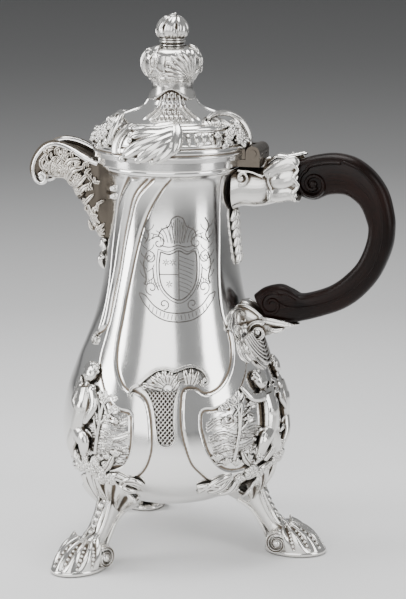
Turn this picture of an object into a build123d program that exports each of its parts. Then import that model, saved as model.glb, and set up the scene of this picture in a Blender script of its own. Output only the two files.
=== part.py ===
from build123d import *
import os

# A silver coffee pot on three shell feet: a pear-shaped body with a beak spout, a domed hinged lid
# with a screwed-on finial, and a C-shaped wooden handle pinned into two cast sockets.
#
# Millimetres, +Z up. The handle points along +X and the spout along -X. The feet stand on Z = 0, and
# the origin is the middle of the pot's footprint box. Every piece is drawn round the body's own axis
# and moved to X = AXIS_X when it is written.

os.makedirs("parts", exist_ok=True)

# ---- driving dimensions, in millimetres and degrees ------------------------------------------------
AXIS_X = -20.0

# body
BODY_WALL = 1.2
BASE_Z = 24.0  # underside of the body on its axis
BELLY_R = 56.8
BELLY_Z = 65.0
WAIST_R = 44.8
WAIST_Z = 109.0
NECK_R = 31.6
NECK_DROP = 24.0  # from the mouth's rim down to where the neck is narrowest
MOUTH_R = 34.2
MOUTH_Z = 205.0
MOUTH_DEPTH = 7.0  # straight length of the mouth under its rim
FLARE_HEIGHT = 6.0  # height over which the neck opens to the mouth

# mouldings round the mouth
MOUTH_BAND_WIDTH = 3.8
MOUTH_BAND_HEIGHT = 3.4
MOUTH_BEAD_R = 1.7

# strainer holes through the body wall behind the spout
STRAINER_HOLE_R = 1.1
STRAINER_PITCH = 4.4
STRAINER_ROWS = 5
STRAINER_DROP = 24.0  # from the mouth's rim down to the middle row

# lid
LID_GAP = 0.3  # air between the mouth's rim and the lid's edge
LID_OVERHANG = 2.0  # past the band round the mouth
LID_WALL = 1.0
LID_EDGE_HEIGHT = 5.0  # upright edge of the lid
LID_SHOULDER_INSET = 11.0
LID_SHOULDER_RISE = 18.8
LID_NECK_R = 11.0
LID_NECK_RISE = 28.0
BEZEL_CLEARANCE = 0.5
BEZEL_WALL = 1.2
BEZEL_DEPTH = 4.2
FLANGE_THICKNESS = 0.8

# finial, stacked on the lid's neck and held by a bolt, a washer and a nut
BOLT_R = 1.5
BOLT_CLEARANCE = 0.1
BOLT_ENGAGEMENT = 5.0
KNOP_HEIGHT = 26.6
KNOP_R = 14.0
KNOP_WAIST_R = 9.4
KNOP_TOP_R = 6.6
COLLAR_HEIGHT = 4.0
COLLAR_R = 6.2
BUD_HEIGHT = 12.9
BUD_R = 7.3
BUD_TIP_R = 0.8
NUT_HEIGHT = 2.6
NUT_ACROSS_CORNERS_R = 3.2
WASHER_R = 4.6
WASHER_THICKNESS = 0.8

# hinge
HINGE_RISE = 3.2  # of the pin over the mouth's rim
KNUCKLE_R = 3.6
LID_KNUCKLE_GAP = 0.6  # between the lid's edge and the knuckles
KNUCKLE_COUNT = 5
KNUCKLE_LENGTH = 4.2
KNUCKLE_GAP = 0.2
HINGE_CLEARANCE = 0.3
HINGE_PIN_R = 1.1
PIN_CLEARANCE = 0.03
PIN_HEAD_R = 1.9
PIN_HEAD = 0.7
BRACKET_DROP = 3.6  # of the bracket's underside below the mouth's rim
BRACKET_CLEARANCE = 0.4  # between the bracket and the handle's upper socket

# spout
SPOUT_HALF_WIDTH = 12.5
SPOUT_LIP_HALF_WIDTH = 6.5
SPOUT_WALL = 1.5
SPOUT_LID_CLEARANCE = 0.8
FESTOON_THICKNESS = 4.2
FESTOON_HALF_WIDTH = 7.0
FESTOON_LENGTH = 52.0

# handle and its sockets, whose outlines are drawn from the point of the mouth's rim over the socket
HANDLE_HALF_WIDTH = 6.6
HANDLE_ROUNDING = 2.4
VOLUTE_R = 8.2
UPPER_SOCKET_REACH = 31.8  # from the mouth's wall to where the wood begins
UPPER_TENON_DROP = 10.6
UPPER_TENON_R = 5.2
UPPER_TENON_LENGTH = 15.0
UPPER_SOCKET_HALF_WIDTH = 8.6
LOWER_TENON_REACH = 14.8
LOWER_TENON_R = 3.6
LOWER_TENON_TIP_DROP = 86.6
LOWER_SOCKET_HALF_WIDTH = 7.2
TENON_CLEARANCE = 0.1
HANDLE_PIN_R = 1.3
STRAP_THICKNESS = 2.4
STRAP_HALF_WIDTH = 4.6
STRAP_LENGTH = 44.0
BODY_CLEARANCE = 0.4  # between the wood and the body

# feet
FOOT_COUNT = 3
TOE_REACH = 9.4  # from the belly's radius to the middle of the toe
TOE_LENGTH = 16.6
TOE_HALF_WIDTH = 12.4
TOE_RISE = 15.0
SOLE_CUT = 2.5  # the toe's ellipsoid is cut off this far under its middle
LEG_HALF_WIDTH = 4.8
LEG_ROOT_SHARE = 0.53  # of the belly's radius, from the axis to the inner end of a leg's root
FOOT_SCROLL_R = 6.4
FOOT_SCROLL_HALF_LENGTH = 10.5

# cast ornament laid on the body and on the lid
KNEE_LEAF_THICKNESS = 3.0
KNEE_LEAF_HALF_WIDTH = 14.0
KNEE_LEAF_RISE = 4.0  # of its lower end over the underside of the body
KNEE_LEAF_HEIGHT = 23.0
CHERUB_AZIMUTHS = (-16.0, -129.0, 129.0, 16.0)
CHERUB_THICKNESS = 4.6
CHERUB_HALF_WIDTH = 9.0
CHERUB_DROP = 13.0  # of its lower end below the middle of the belly
CHERUB_HEIGHT = 42.0
FAN_THICKNESS = 3.0
FAN_HALF_WIDTH = 11.0
FAN_HEIGHT = 29.0
FAN_OVERLAP = 3.0  # how far it runs up round the foot of the lower socket
SPRAY_AZIMUTHS = {"near": -95.0, "far": 140.0}
SPRAY_THICKNESS = 3.0
SPRAY_HALF_WIDTH = 13.0
SPRAY_DROP = 2.4  # how far the sprays hang below the lid's edge
SPRAY_LENGTH = 12.0
SCROLL_AZIMUTHS = {"hinge_side": -21.5, "spout_side": -141.5, "far_side": 98.5}
SCROLL_THICKNESS = 3.2
SCROLL_R = 8.5
SCROLL_INSET = 9.0  # of their middles from the lid's edge

REACH = 400.0  # longer than anything in the pot, for cutting tools

# ---- places that follow from the driving dimensions --------------------------------------------------
NECK_Z = MOUTH_Z - NECK_DROP
MOUTH_BAND_R = MOUTH_R + MOUTH_BAND_WIDTH
LID_R = MOUTH_BAND_R + LID_OVERHANG
LID_Z = MOUTH_Z + LID_GAP
LID_TOP_Z = LID_Z + LID_NECK_RISE
KNOP_TOP_Z = LID_TOP_Z + KNOP_HEIGHT
COLLAR_TOP_Z = KNOP_TOP_Z + COLLAR_HEIGHT
BUD_TOP_Z = COLLAR_TOP_Z + BUD_HEIGHT
BAND_LOW_Z = MOUTH_Z - MOUTH_BAND_HEIGHT
HINGE_X = LID_R + LID_KNUCKLE_GAP + KNUCKLE_R
HINGE_Z = MOUTH_Z + HINGE_RISE
HINGE_HALF_WIDTH = KNUCKLE_COUNT * KNUCKLE_LENGTH / 2
ROOT_X = NECK_R - 4.0  # castings on the neck are drawn from here, inside the body, and cut back to it
UPPER_JOINT_X = MOUTH_R + UPPER_SOCKET_REACH
UPPER_TENON_Z = MOUTH_Z - UPPER_TENON_DROP
LOWER_TENON_X = MOUTH_R + LOWER_TENON_REACH
LOWER_TENON_TIP_Z = MOUTH_Z - LOWER_TENON_TIP_DROP
FOOT_SCROLL_X = BELLY_R + 2.0


# ---- helpers -----------------------------------------------------------------------------------------
def turned(*edges):
    """The solid of revolution of a closed profile in the XZ plane."""
    return revolve(make_face(Curve() + list(edges)), Axis.Z)


def disc(radius, low_z, high_z):
    """An upright cylinder between two heights."""
    return Pos(0, 0, low_z) * Cylinder(
        radius, high_z - low_z, align=(Align.CENTER, Align.CENTER, Align.MIN)
    )


def tube(outer_r, inner_r, low_z, high_z):
    """An upright tube between two heights."""
    return disc(outer_r, low_z, high_z) - disc(inner_r, low_z, high_z)


def box_between(low, high):
    """A box from its lowest corner to its highest."""
    size = [b - a for a, b in zip(low, high)]
    return Pos(*low) * Box(*size, align=(Align.MIN, Align.MIN, Align.MIN))


def rod(radius, length, x, z, y=0.0):
    """A cylinder along Y with its middle at the given point."""
    return Pos(x, y, z) * Rot(90, 0, 0) * Cylinder(radius, length)


def slab(half_width, *edges):
    """A closed outline in the XZ plane, given the same thickness on both sides."""
    return extrude(make_face(Curve() + list(edges)), half_width, both=True)


def flat_points(*points):
    """Points in the XZ plane from pairs of X and Z."""
    return [(x, 0, z) for x, z in points]


def curve_through(*points):
    """A smooth line through points of the XZ plane."""
    return Spline(*flat_points(*points))


def straight(*points):
    """A line of straight runs through points of the XZ plane."""
    return Polyline(*flat_points(*points))


def around(azimuth, shape):
    """The shape turned about the body's axis."""
    return Rot(0, 0, azimuth) * shape


def ellipsoid(x, y, z):
    """An ellipsoid about the origin with these half-axes."""
    return scale(Sphere(1), by=(x, y, z))


def save(name, shape):
    """Writes one node, moved from the body's axis to its place in the pot's frame."""
    placed = Pos(AXIS_X, 0, 0) * shape
    export_step(Compound(children=list(placed.solids())), f"parts/{name}.step")


# ---- body --------------------------------------------------------------------------------------------
def body_form(offset):
    """The solid form of the body, grown outwards by offset, or shrunk where it is negative."""
    belly = (BELLY_R + offset, 0, BELLY_Z)
    waist = (WAIST_R + offset * 0.94, 0, WAIST_Z)
    neck = (NECK_R + offset, 0, NECK_Z)
    flare_low = (NECK_R + offset, 0, MOUTH_Z - MOUTH_DEPTH - FLARE_HEIGHT)
    mouth_low = (MOUTH_R + offset, 0, MOUTH_Z - MOUTH_DEPTH)
    mouth_top = (MOUTH_R + offset, 0, MOUTH_Z)
    base = (0, 0, BASE_Z - offset)
    return turned(
        Spline(base, belly, tangents=[(1, 0, 0), (0, 0, 1)]),
        Spline(belly, waist, neck, tangents=[(0, 0, 1), (0, 0, 1)]),
        Line(neck, flare_low),
        Spline(flare_low, mouth_low, tangents=[(0, 0, 1), (0, 0, 1)]),
        Polyline(mouth_low, mouth_top, (0, 0, MOUTH_Z), base),
    )


def strainer_holes():
    """Staggered rows of holes through the wall behind the spout."""
    holes = []
    for row in range(STRAINER_ROWS):
        count = 3 + row % 2
        z = MOUTH_Z - STRAINER_DROP + (row - (STRAINER_ROWS - 1) / 2) * STRAINER_PITCH
        for column in range(count):
            y = (column - (count - 1) / 2) * STRAINER_PITCH
            drill = Cylinder(STRAINER_HOLE_R, NECK_R * 2, align=(Align.CENTER, Align.CENTER, Align.MIN))
            holes.append(Pos(0, y, z) * Rot(0, -90, 0) * drill)
    return holes


def oval_prism(half_width, half_height):
    """A long prism of oval section that stands on the XY plane."""
    return extrude(make_face(Ellipse(half_width, half_height)), REACH)


def casting(thickness, azimuth, half_width, low_z, high_z):
    """An oval casting that follows the body's surface, centred on an azimuth."""
    prism = Plane.YZ * oval_prism(half_width, (high_z - low_z) / 2)
    shell = body_form(thickness) - body_form(0)
    return shell & around(azimuth, Pos(0, 0, (low_z + high_z) / 2) * prism)


body_outside = body_form(0)
body_shell = body_outside - body_form(-BODY_WALL) - disc(MOUTH_R - BODY_WALL, MOUTH_Z - 1, MOUTH_Z)
for hole in strainer_holes():
    body_shell -= hole

mouth_band = tube(MOUTH_BAND_R, MOUTH_R, BAND_LOW_Z, MOUTH_Z)
mouth_bead = turned(
    ThreePointArc(
        (MOUTH_R, 0, BAND_LOW_Z),
        (MOUTH_R + MOUTH_BEAD_R, 0, BAND_LOW_Z - MOUTH_BEAD_R),
        (MOUTH_R, 0, BAND_LOW_Z - 2 * MOUTH_BEAD_R),
    ),
    Line((MOUTH_R, 0, BAND_LOW_Z - 2 * MOUTH_BEAD_R), (MOUTH_R, 0, BAND_LOW_Z)),
)
neck_envelope = body_outside + disc(MOUTH_BAND_R, BAND_LOW_Z, MOUTH_Z) + mouth_bead


# ---- lid ---------------------------------------------------------------------------------------------
def lid_form(offset, drop=0.0):
    """The solid form of the lid, grown by offset and reaching drop below its edge."""
    edge_top = (LID_R + offset, 0, LID_Z + LID_EDGE_HEIGHT)
    shoulder = (LID_R - LID_SHOULDER_INSET + offset / 2, 0, LID_Z + LID_SHOULDER_RISE + offset)
    neck = (LID_NECK_R + offset, 0, LID_TOP_Z + min(offset, 0))
    edge_low = (LID_R + offset, 0, LID_Z - drop)
    return turned(
        Line(edge_low, edge_top),
        Spline(edge_top, shoulder, neck, tangents=[(0, 0, 1), (-0.35, 0, 1)]),
        Polyline(neck, (0, 0, neck[2]), (0, 0, edge_low[2]), edge_low),
    )


def lid_casting(thickness, azimuth, place_r, length_half, width_half, drop=0.0):
    """An oval casting that follows the lid's surface, seen from above at a place and azimuth."""
    shell = lid_form(thickness, drop) - lid_form(0, drop)
    return shell & around(azimuth, Pos(place_r, 0, 0) * oval_prism(length_half, width_half))


bezel_r = MOUTH_R - BODY_WALL - BEZEL_CLEARANCE
bolt_bore = disc(BOLT_R + BOLT_CLEARANCE, LID_Z, BUD_TOP_Z)
lid_dome = lid_form(0) - lid_form(-LID_WALL, drop=1) - bolt_bore
lid_bezel = tube(bezel_r, bezel_r - BEZEL_WALL, LID_Z - BEZEL_DEPTH, LID_Z + FLANGE_THICKNESS)
lid_bezel += tube(LID_R - LID_WALL, bezel_r - BEZEL_WALL, LID_Z, LID_Z + FLANGE_THICKNESS)

# ---- finial ------------------------------------------------------------------------------------------
knop = turned(
    Spline(
        (LID_NECK_R, 0, LID_TOP_Z),
        (KNOP_WAIST_R, 0, LID_TOP_Z + KNOP_HEIGHT * 0.25),
        (KNOP_R, 0, LID_TOP_Z + KNOP_HEIGHT * 0.7),
        (KNOP_TOP_R, 0, KNOP_TOP_Z),
    ),
    straight((KNOP_TOP_R, KNOP_TOP_Z), (0, KNOP_TOP_Z), (0, LID_TOP_Z), (LID_NECK_R, LID_TOP_Z)),
)
knop -= bolt_bore
collar_rounding = COLLAR_HEIGHT / 2
finial_collar = tube(COLLAR_R, BOLT_R + BOLT_CLEARANCE, KNOP_TOP_Z, COLLAR_TOP_Z)
finial_collar = fillet(
    finial_collar.edges().filter_by(GeomType.CIRCLE).group_by(SortBy.RADIUS)[-1], collar_rounding * 0.9
)
bud = turned(
    Spline(
        (COLLAR_R, 0, COLLAR_TOP_Z),
        (BUD_R, 0, COLLAR_TOP_Z + BUD_HEIGHT * 0.32),
        (BUD_R * 0.72, 0, COLLAR_TOP_Z + BUD_HEIGHT * 0.7),
        (BUD_TIP_R, 0, BUD_TOP_Z),
    ),
    straight((BUD_TIP_R, BUD_TOP_Z), (0, BUD_TOP_Z), (0, COLLAR_TOP_Z), (COLLAR_R, COLLAR_TOP_Z)),
)
lid_ceiling_z = LID_TOP_Z - LID_WALL
washer_low_z = lid_ceiling_z - WASHER_THICKNESS
nut_low_z = washer_low_z - NUT_HEIGHT
finial_bolt = disc(BOLT_R, nut_low_z - 1, COLLAR_TOP_Z + BOLT_ENGAGEMENT)
bud -= finial_bolt
finial_washer = tube(WASHER_R, BOLT_R + BOLT_CLEARANCE, washer_low_z, lid_ceiling_z)
finial_nut = Pos(0, 0, nut_low_z) * extrude(RegularPolygon(NUT_ACROSS_CORNERS_R, 6), NUT_HEIGHT)
finial_nut -= finial_bolt

# ---- hinge -------------------------------------------------------------------------------------------
bracket_back_x = HINGE_X + KNUCKLE_R
bracket_low_z = MOUTH_Z - BRACKET_DROP
knuckle_relief_r = KNUCKLE_R + HINGE_CLEARANCE


def knuckle_y(index):
    """The middle of a knuckle, counted from the -Y side."""
    return (index + 0.5) * KNUCKLE_LENGTH - HINGE_HALF_WIDTH


hinge_pin_bore = rod(HINGE_PIN_R + PIN_CLEARANCE, REACH, HINGE_X, HINGE_Z)
hinge_bracket = box_between(
    (MOUTH_R, -HINGE_HALF_WIDTH, bracket_low_z), (bracket_back_x, HINGE_HALF_WIDTH, MOUTH_Z)
)
hinge_bracket += box_between(
    (HINGE_X - KNUCKLE_R, -HINGE_HALF_WIDTH, bracket_low_z), (bracket_back_x, HINGE_HALF_WIDTH, HINGE_Z)
)
lid_knuckles = []
for index in range(KNUCKLE_COUNT):
    y = knuckle_y(index)
    if index % 2:
        hinge_bracket -= rod(knuckle_relief_r, KNUCKLE_LENGTH, HINGE_X, HINGE_Z, y)
        lid_knuckles.append(rod(KNUCKLE_R, KNUCKLE_LENGTH - 2 * KNUCKLE_GAP, HINGE_X, HINGE_Z, y))
    else:
        hinge_bracket += rod(KNUCKLE_R, KNUCKLE_LENGTH, HINGE_X, HINGE_Z, y)
hinge_bracket = hinge_bracket - neck_envelope - rod(HINGE_PIN_R, REACH, HINGE_X, HINGE_Z)

# a plate on the lid's edge that carries the lid's two knuckles
plate_x = HINGE_X - knuckle_relief_r
lid_hinge = box_between(
    (plate_x - 3, -HINGE_HALF_WIDTH, LID_Z), (plate_x, HINGE_HALF_WIDTH, LID_Z + LID_EDGE_HEIGHT)
)
for index, knuckle in enumerate(lid_knuckles):
    y = knuckle_y(2 * index + 1)
    half = KNUCKLE_LENGTH / 2 - KNUCKLE_GAP
    lid_hinge += box_between((plate_x - 1, y - half, HINGE_Z - 1), (HINGE_X, y + half, HINGE_Z + KNUCKLE_R))
    lid_hinge += knuckle
lid_hinge = lid_hinge - lid_form(0) - hinge_pin_bore
hinge_pin = rod(HINGE_PIN_R, 2 * HINGE_HALF_WIDTH, HINGE_X, HINGE_Z)
for side in (-1, 1):
    head_y = side * (HINGE_HALF_WIDTH + PIN_HEAD / 2)
    hinge_pin += rod(PIN_HEAD_R, PIN_HEAD, HINGE_X, HINGE_Z, head_y)

# ---- spout -------------------------------------------------------------------------------------------
def from_lid_edge(*points):
    """Points given by their distance out from the lid's edge, towards the spout, and from the rim up."""
    return [(-LID_R - out, MOUTH_Z + up) for out, up in points]


spout_start = (SPOUT_LID_CLEARANCE, 0)
spout_tip = (30.0, -17.3)
spout_root = (-0.6, -48.0)
spout_root_z = MOUTH_Z + spout_root[1]
spout_outline = slab(
    SPOUT_HALF_WIDTH,
    curve_through(*from_lid_edge(spout_start, (20, 6.5), (30.5, 0.3), (34.9, -9.6), spout_tip)),
    curve_through(
        *from_lid_edge(spout_tip, (23.5, -14.4), (15.9, -15.6), (9.5, -24.5), (2.6, -34), spout_root)
    ),
    straight(*from_lid_edge(spout_root), (-ROOT_X, spout_root_z)),
    straight((-ROOT_X, spout_root_z), (-ROOT_X, MOUTH_Z), *from_lid_edge(spout_start)),
)
channel_outline = slab(
    SPOUT_HALF_WIDTH,
    curve_through(*from_lid_edge((-8, -36), (4.5, -24.8), (14, -10.5), (36, -8.2))),
    straight(*from_lid_edge((36, -8.2), (36, 20), (-8, 20), (-8, -36))),
)


def spout_plan(inset):
    """The spout's outline from above, narrowing to the lip and drawn in by inset."""
    root = SPOUT_HALF_WIDTH - inset
    lip = SPOUT_LIP_HALF_WIDTH - inset
    far_x = -LID_R - 40
    near = Spline((0, -root), (-NECK_R, -root), (-LID_R - 20, -(root + lip) / 2), (far_x, -lip))
    outline = near + Line((far_x, -lip), (far_x, lip)) + mirror(near, Plane.XZ) + Line((0, root), (0, -root))
    return extrude(make_face(outline), REACH)


spout = (spout_outline & spout_plan(0)) - (channel_outline & spout_plan(SPOUT_WALL)) - neck_envelope
spout_festoon = casting(
    FESTOON_THICKNESS, 180, FESTOON_HALF_WIDTH, spout_root_z - FESTOON_LENGTH, spout_root_z + 4
) - box_between((-REACH, -REACH, spout_root_z), (0, REACH, REACH))


# ---- handle and sockets --------------------------------------------------------------------------------
def from_mouth(*points):
    """Points given by their distance out from the mouth's wall, towards the handle, and from the rim up."""
    return [(MOUTH_R + out, MOUTH_Z + up) for out, up in points]


def lying(radius, length, start_x, z):
    """A cylinder along +X from a point."""
    upright = Cylinder(radius, length, align=(Align.CENTER, Align.CENTER, Align.MIN))
    return Pos(start_x, 0, z) * Rot(0, 90, 0) * upright


wood_top = (UPPER_SOCKET_REACH, -0.4)
wood_low = (UPPER_SOCKET_REACH, -16.6)
wood_tail = (23.8, -83.5)
wood_heel = (6.0, -76.0)
inner_low = (63.3, -49.5)
inner_high = (45.8, -16.6)
wood_handle = slab(
    HANDLE_HALF_WIDTH,
    curve_through(
        *from_mouth(wood_top, (49.8, 3.6), (70.3, -5.4), (80.8, -32.5), (70.8, -62), (45.8, -79), wood_tail)
    ),
    straight(*from_mouth(wood_tail, wood_heel)),
    curve_through(
        *from_mouth(wood_heel, (14.4, -66), (23.3, -64.6), (31.8, -68.7), (48.8, -63.2), inner_low)
    ),
    curve_through(*from_mouth(inner_low, (67.2, -35.5), (62.8, -22.2), (53.8, -16.6), inner_high)),
    straight(*from_mouth(inner_high, wood_low, wood_top)),
)
volute_middle = from_mouth((40.2, -12.4))[0]
volute = rod(VOLUTE_R, 2 * HANDLE_HALF_WIDTH, *volute_middle)
wood_handle += volute & box_between((UPPER_JOINT_X, -REACH, 0), (REACH, REACH, REACH))
side_edges = wood_handle.edges().filter_by(GeomType.LINE, reverse=True)
side_edges = side_edges.filter_by(lambda edge: abs(edge.center().Y) > HANDLE_HALF_WIDTH - 0.01)
wood_handle = fillet(side_edges, HANDLE_ROUNDING)
tenon_start_x = UPPER_JOINT_X - UPPER_TENON_LENGTH
tenon_top_z = MOUTH_Z - 77
wood_handle += lying(UPPER_TENON_R, UPPER_TENON_LENGTH + 2, tenon_start_x, UPPER_TENON_Z)
wood_handle += Pos(LOWER_TENON_X, 0, 0) * disc(LOWER_TENON_R, LOWER_TENON_TIP_Z, tenon_top_z)
wood_handle -= body_form(BODY_CLEARANCE)
upper_socket_hole = lying(
    UPPER_TENON_R + TENON_CLEARANCE, REACH, tenon_start_x - TENON_CLEARANCE, UPPER_TENON_Z
)
lower_socket_hole = Pos(LOWER_TENON_X, 0, 0) * disc(
    LOWER_TENON_R + TENON_CLEARANCE, LOWER_TENON_TIP_Z - TENON_CLEARANCE, tenon_top_z
)

socket_top = (UPPER_SOCKET_REACH, 1.5)
socket_low = (UPPER_SOCKET_REACH, -20.4)
socket_root_low = (ROOT_X, MOUTH_Z - 29)
upper_socket = slab(
    UPPER_SOCKET_HALF_WIDTH,
    straight(*from_mouth(socket_low, socket_top)),
    curve_through(*from_mouth(socket_top, (24.3, 1.2), (18.3, -1), (14.2, -4.0)), from_mouth((4, -5.4))[0]),
    straight(from_mouth((4, -5.4))[0], (ROOT_X, MOUTH_Z - 5.4), socket_root_low),
    curve_through(socket_root_low, *from_mouth((1.8, -25.6), (9, -25.3), (19.3, -22.9), socket_low)),
)
bracket_room = box_between(
    (0, -REACH, bracket_low_z - BRACKET_CLEARANCE), (bracket_back_x + BRACKET_CLEARANCE, REACH, REACH)
)
upper_socket = upper_socket - upper_socket_hole - neck_envelope - bracket_room

leaf_tip = (33.0, -82.6)
lower_root_high = (ROOT_X, MOUTH_Z - 73.5)
lower_root_low = (ROOT_X, MOUTH_Z - 84)
lower_socket = slab(
    LOWER_SOCKET_HALF_WIDTH,
    curve_through(lower_root_high, *from_mouth((4.2, -73.5), (11.8, -74), (23.8, -77), leaf_tip)),
    curve_through(
        *from_mouth(leaf_tip, (25.8, -86.4), (19.3, -90.4), (11.8, -90.8), (5.8, -87.4)), lower_root_low
    ),
    straight(lower_root_low, lower_root_high),
)
lower_socket = lower_socket - wood_handle - lower_socket_hole - body_outside

strap_low_z = lower_root_high[1] + 3.5
strap = box_between(
    (0, -STRAP_HALF_WIDTH, strap_low_z), (REACH, STRAP_HALF_WIDTH, strap_low_z + STRAP_LENGTH)
)
handle_strap = ((body_form(STRAP_THICKNESS) - body_outside) & strap) - upper_socket - wood_handle
fan_high_z = lower_root_low[1] + FAN_OVERLAP
handle_fan = casting(FAN_THICKNESS, 0, FAN_HALF_WIDTH, fan_high_z - FAN_HEIGHT, fan_high_z) - lower_socket

upper_pin_x = UPPER_JOINT_X - UPPER_TENON_LENGTH * 0.45
lower_pin_z = LOWER_TENON_TIP_Z + LOWER_TENON_R * 0.9
upper_pin = rod(HANDLE_PIN_R, 2 * UPPER_SOCKET_HALF_WIDTH, upper_pin_x, UPPER_TENON_Z)
lower_pin = rod(HANDLE_PIN_R, 2 * LOWER_SOCKET_HALF_WIDTH, LOWER_TENON_X, lower_pin_z)
wood_handle = wood_handle - upper_pin - lower_pin
upper_socket -= upper_pin
lower_socket -= lower_pin


# ---- feet --------------------------------------------------------------------------------------------
def foot_casting():
    """A cabriole leg with its shell toe and side scroll, under the handle."""
    knee_x = BELLY_R - 12.8
    root_x = BELLY_R * LEG_ROOT_SHARE
    leg = slab(
        LEG_HALF_WIDTH,
        curve_through(
            (knee_x, BASE_Z + 25),
            (BELLY_R - 7.3, BASE_Z + 13),
            (BELLY_R - 5.4, BASE_Z + 3),
            (BELLY_R - 0.8, BASE_Z - 6),
            (BELLY_R + 6.2, 12),
        ),
        straight((BELLY_R + 6.2, 12), (BELLY_R + 9.2, 4)),
        curve_through(
            (BELLY_R + 9.2, 4),
            (BELLY_R - 3.3, 5),
            (BELLY_R - 8.4, 12.6),
            (BELLY_R - 14.9, BASE_Z - 3),
            (root_x, BASE_Z + 2),
        ),
        straight((root_x, BASE_Z + 2), (root_x, BASE_Z + 25), (knee_x, BASE_Z + 25)),
    )
    toe = Pos(BELLY_R + TOE_REACH, 0, SOLE_CUT) * ellipsoid(TOE_LENGTH, TOE_HALF_WIDTH, TOE_RISE)
    scroll = rod(FOOT_SCROLL_R, 2 * FOOT_SCROLL_HALF_LENGTH, FOOT_SCROLL_X, FOOT_SCROLL_R)
    above_table = box_between((0, -REACH, 0), (REACH, REACH, REACH))
    return ((leg + toe + scroll) & above_table) - body_outside


foot = foot_casting()
knee_leaf_low_z = BASE_Z + KNEE_LEAF_RISE
knee_leaf = casting(
    KNEE_LEAF_THICKNESS, 0, KNEE_LEAF_HALF_WIDTH, knee_leaf_low_z, knee_leaf_low_z + KNEE_LEAF_HEIGHT
)
knee_leaf -= foot
cherub_low_z = BELLY_Z - CHERUB_DROP
cherub = casting(CHERUB_THICKNESS, 0, CHERUB_HALF_WIDTH, cherub_low_z, cherub_low_z + CHERUB_HEIGHT)

# ---- write every node --------------------------------------------------------------------------------
save("body_shell", body_shell)
save("mouth_band", mouth_band)
save("mouth_bead", mouth_bead)
save("lid_dome", lid_dome)
save("lid_bezel", lid_bezel)
save("lid_hinge_plate", lid_hinge)
save("hinge_bracket", hinge_bracket)
save("hinge_pin", hinge_pin)
save("finial_knop", knop)
save("finial_collar", finial_collar)
save("finial_bud", bud)
save("finial_bolt", finial_bolt)
save("finial_washer", finial_washer)
save("finial_nut", finial_nut)
save("spout", spout)
save("spout_festoon", spout_festoon)
save("wood_handle", wood_handle)
save("upper_socket", upper_socket)
save("lower_socket", lower_socket)
save("upper_socket_pin", upper_pin)
save("lower_socket_pin", lower_pin)
save("handle_strap", handle_strap)
save("handle_fan", handle_fan)
for number in range(FOOT_COUNT):
    turn = number * 360 / FOOT_COUNT
    save(f"foot_{number + 1}", around(turn, foot))
    save(f"knee_leaf_{number + 1}", around(turn, knee_leaf))
for number, azimuth in enumerate(CHERUB_AZIMUTHS):
    save(f"cherub_{number + 1}", around(azimuth, cherub))
for side, azimuth in SPRAY_AZIMUTHS.items():
    save(
        f"lid_spray_{side}",
        lid_casting(SPRAY_THICKNESS, azimuth, LID_R - 2, SPRAY_LENGTH, SPRAY_HALF_WIDTH, SPRAY_DROP),
    )
for side, azimuth in SCROLL_AZIMUTHS.items():
    scroll = lid_casting(SCROLL_THICKNESS, azimuth, LID_R - SCROLL_INSET, SCROLL_R, SCROLL_R)
    save(f"lid_scroll_{side}", scroll)
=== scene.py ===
"""A chased and cast silver coffee pot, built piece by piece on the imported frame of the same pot."""

import math

import bpy
import numpy as np
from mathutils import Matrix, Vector


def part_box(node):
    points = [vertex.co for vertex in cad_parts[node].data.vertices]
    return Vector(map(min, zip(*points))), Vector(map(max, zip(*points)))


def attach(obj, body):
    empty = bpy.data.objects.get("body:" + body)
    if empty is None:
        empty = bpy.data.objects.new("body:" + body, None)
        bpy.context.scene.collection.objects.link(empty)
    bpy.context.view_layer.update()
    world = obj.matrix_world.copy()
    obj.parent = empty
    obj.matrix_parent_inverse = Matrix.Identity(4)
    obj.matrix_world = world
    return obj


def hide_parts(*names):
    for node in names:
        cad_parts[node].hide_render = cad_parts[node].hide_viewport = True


bl_info = {
    "name": "Silver coffee pot",
    "version": (1, 0, 0),
    "blender": (4, 5, 0),
    "location": "View3D > Sidebar > Coffee pot",
    "description": "Builds a chased silver coffee pot with shell feet and a wooden handle",
    "category": "Add Mesh",
}

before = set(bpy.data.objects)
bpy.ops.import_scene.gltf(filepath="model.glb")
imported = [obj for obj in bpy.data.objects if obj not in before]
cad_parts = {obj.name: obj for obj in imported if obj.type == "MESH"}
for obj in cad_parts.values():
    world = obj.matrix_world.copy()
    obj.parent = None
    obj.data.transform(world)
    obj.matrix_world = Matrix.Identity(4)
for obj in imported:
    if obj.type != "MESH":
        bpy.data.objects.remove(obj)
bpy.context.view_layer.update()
MM = 0.001  # a millimetre in the frame's metres
TABLE_Z = 3.0  # every height in this file is given from 3 mm under the table, where the drawing starts


def in_frame(points):
    """Points in millimetres about the body's axis, as the frame's metres."""
    return (np.asarray(points, float) + (AXIS_X, 0.0, -TABLE_Z)) * MM


def body_axis():
    """Where the body's axis stands along X, in millimetres."""
    low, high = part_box("mouth_band")
    return (low[0] + high[0]) / 2 / MM


AXIS_X = body_axis()

# ---- smooth lines and surfaces, in millimetres about the body's axis --------------------------------


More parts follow.
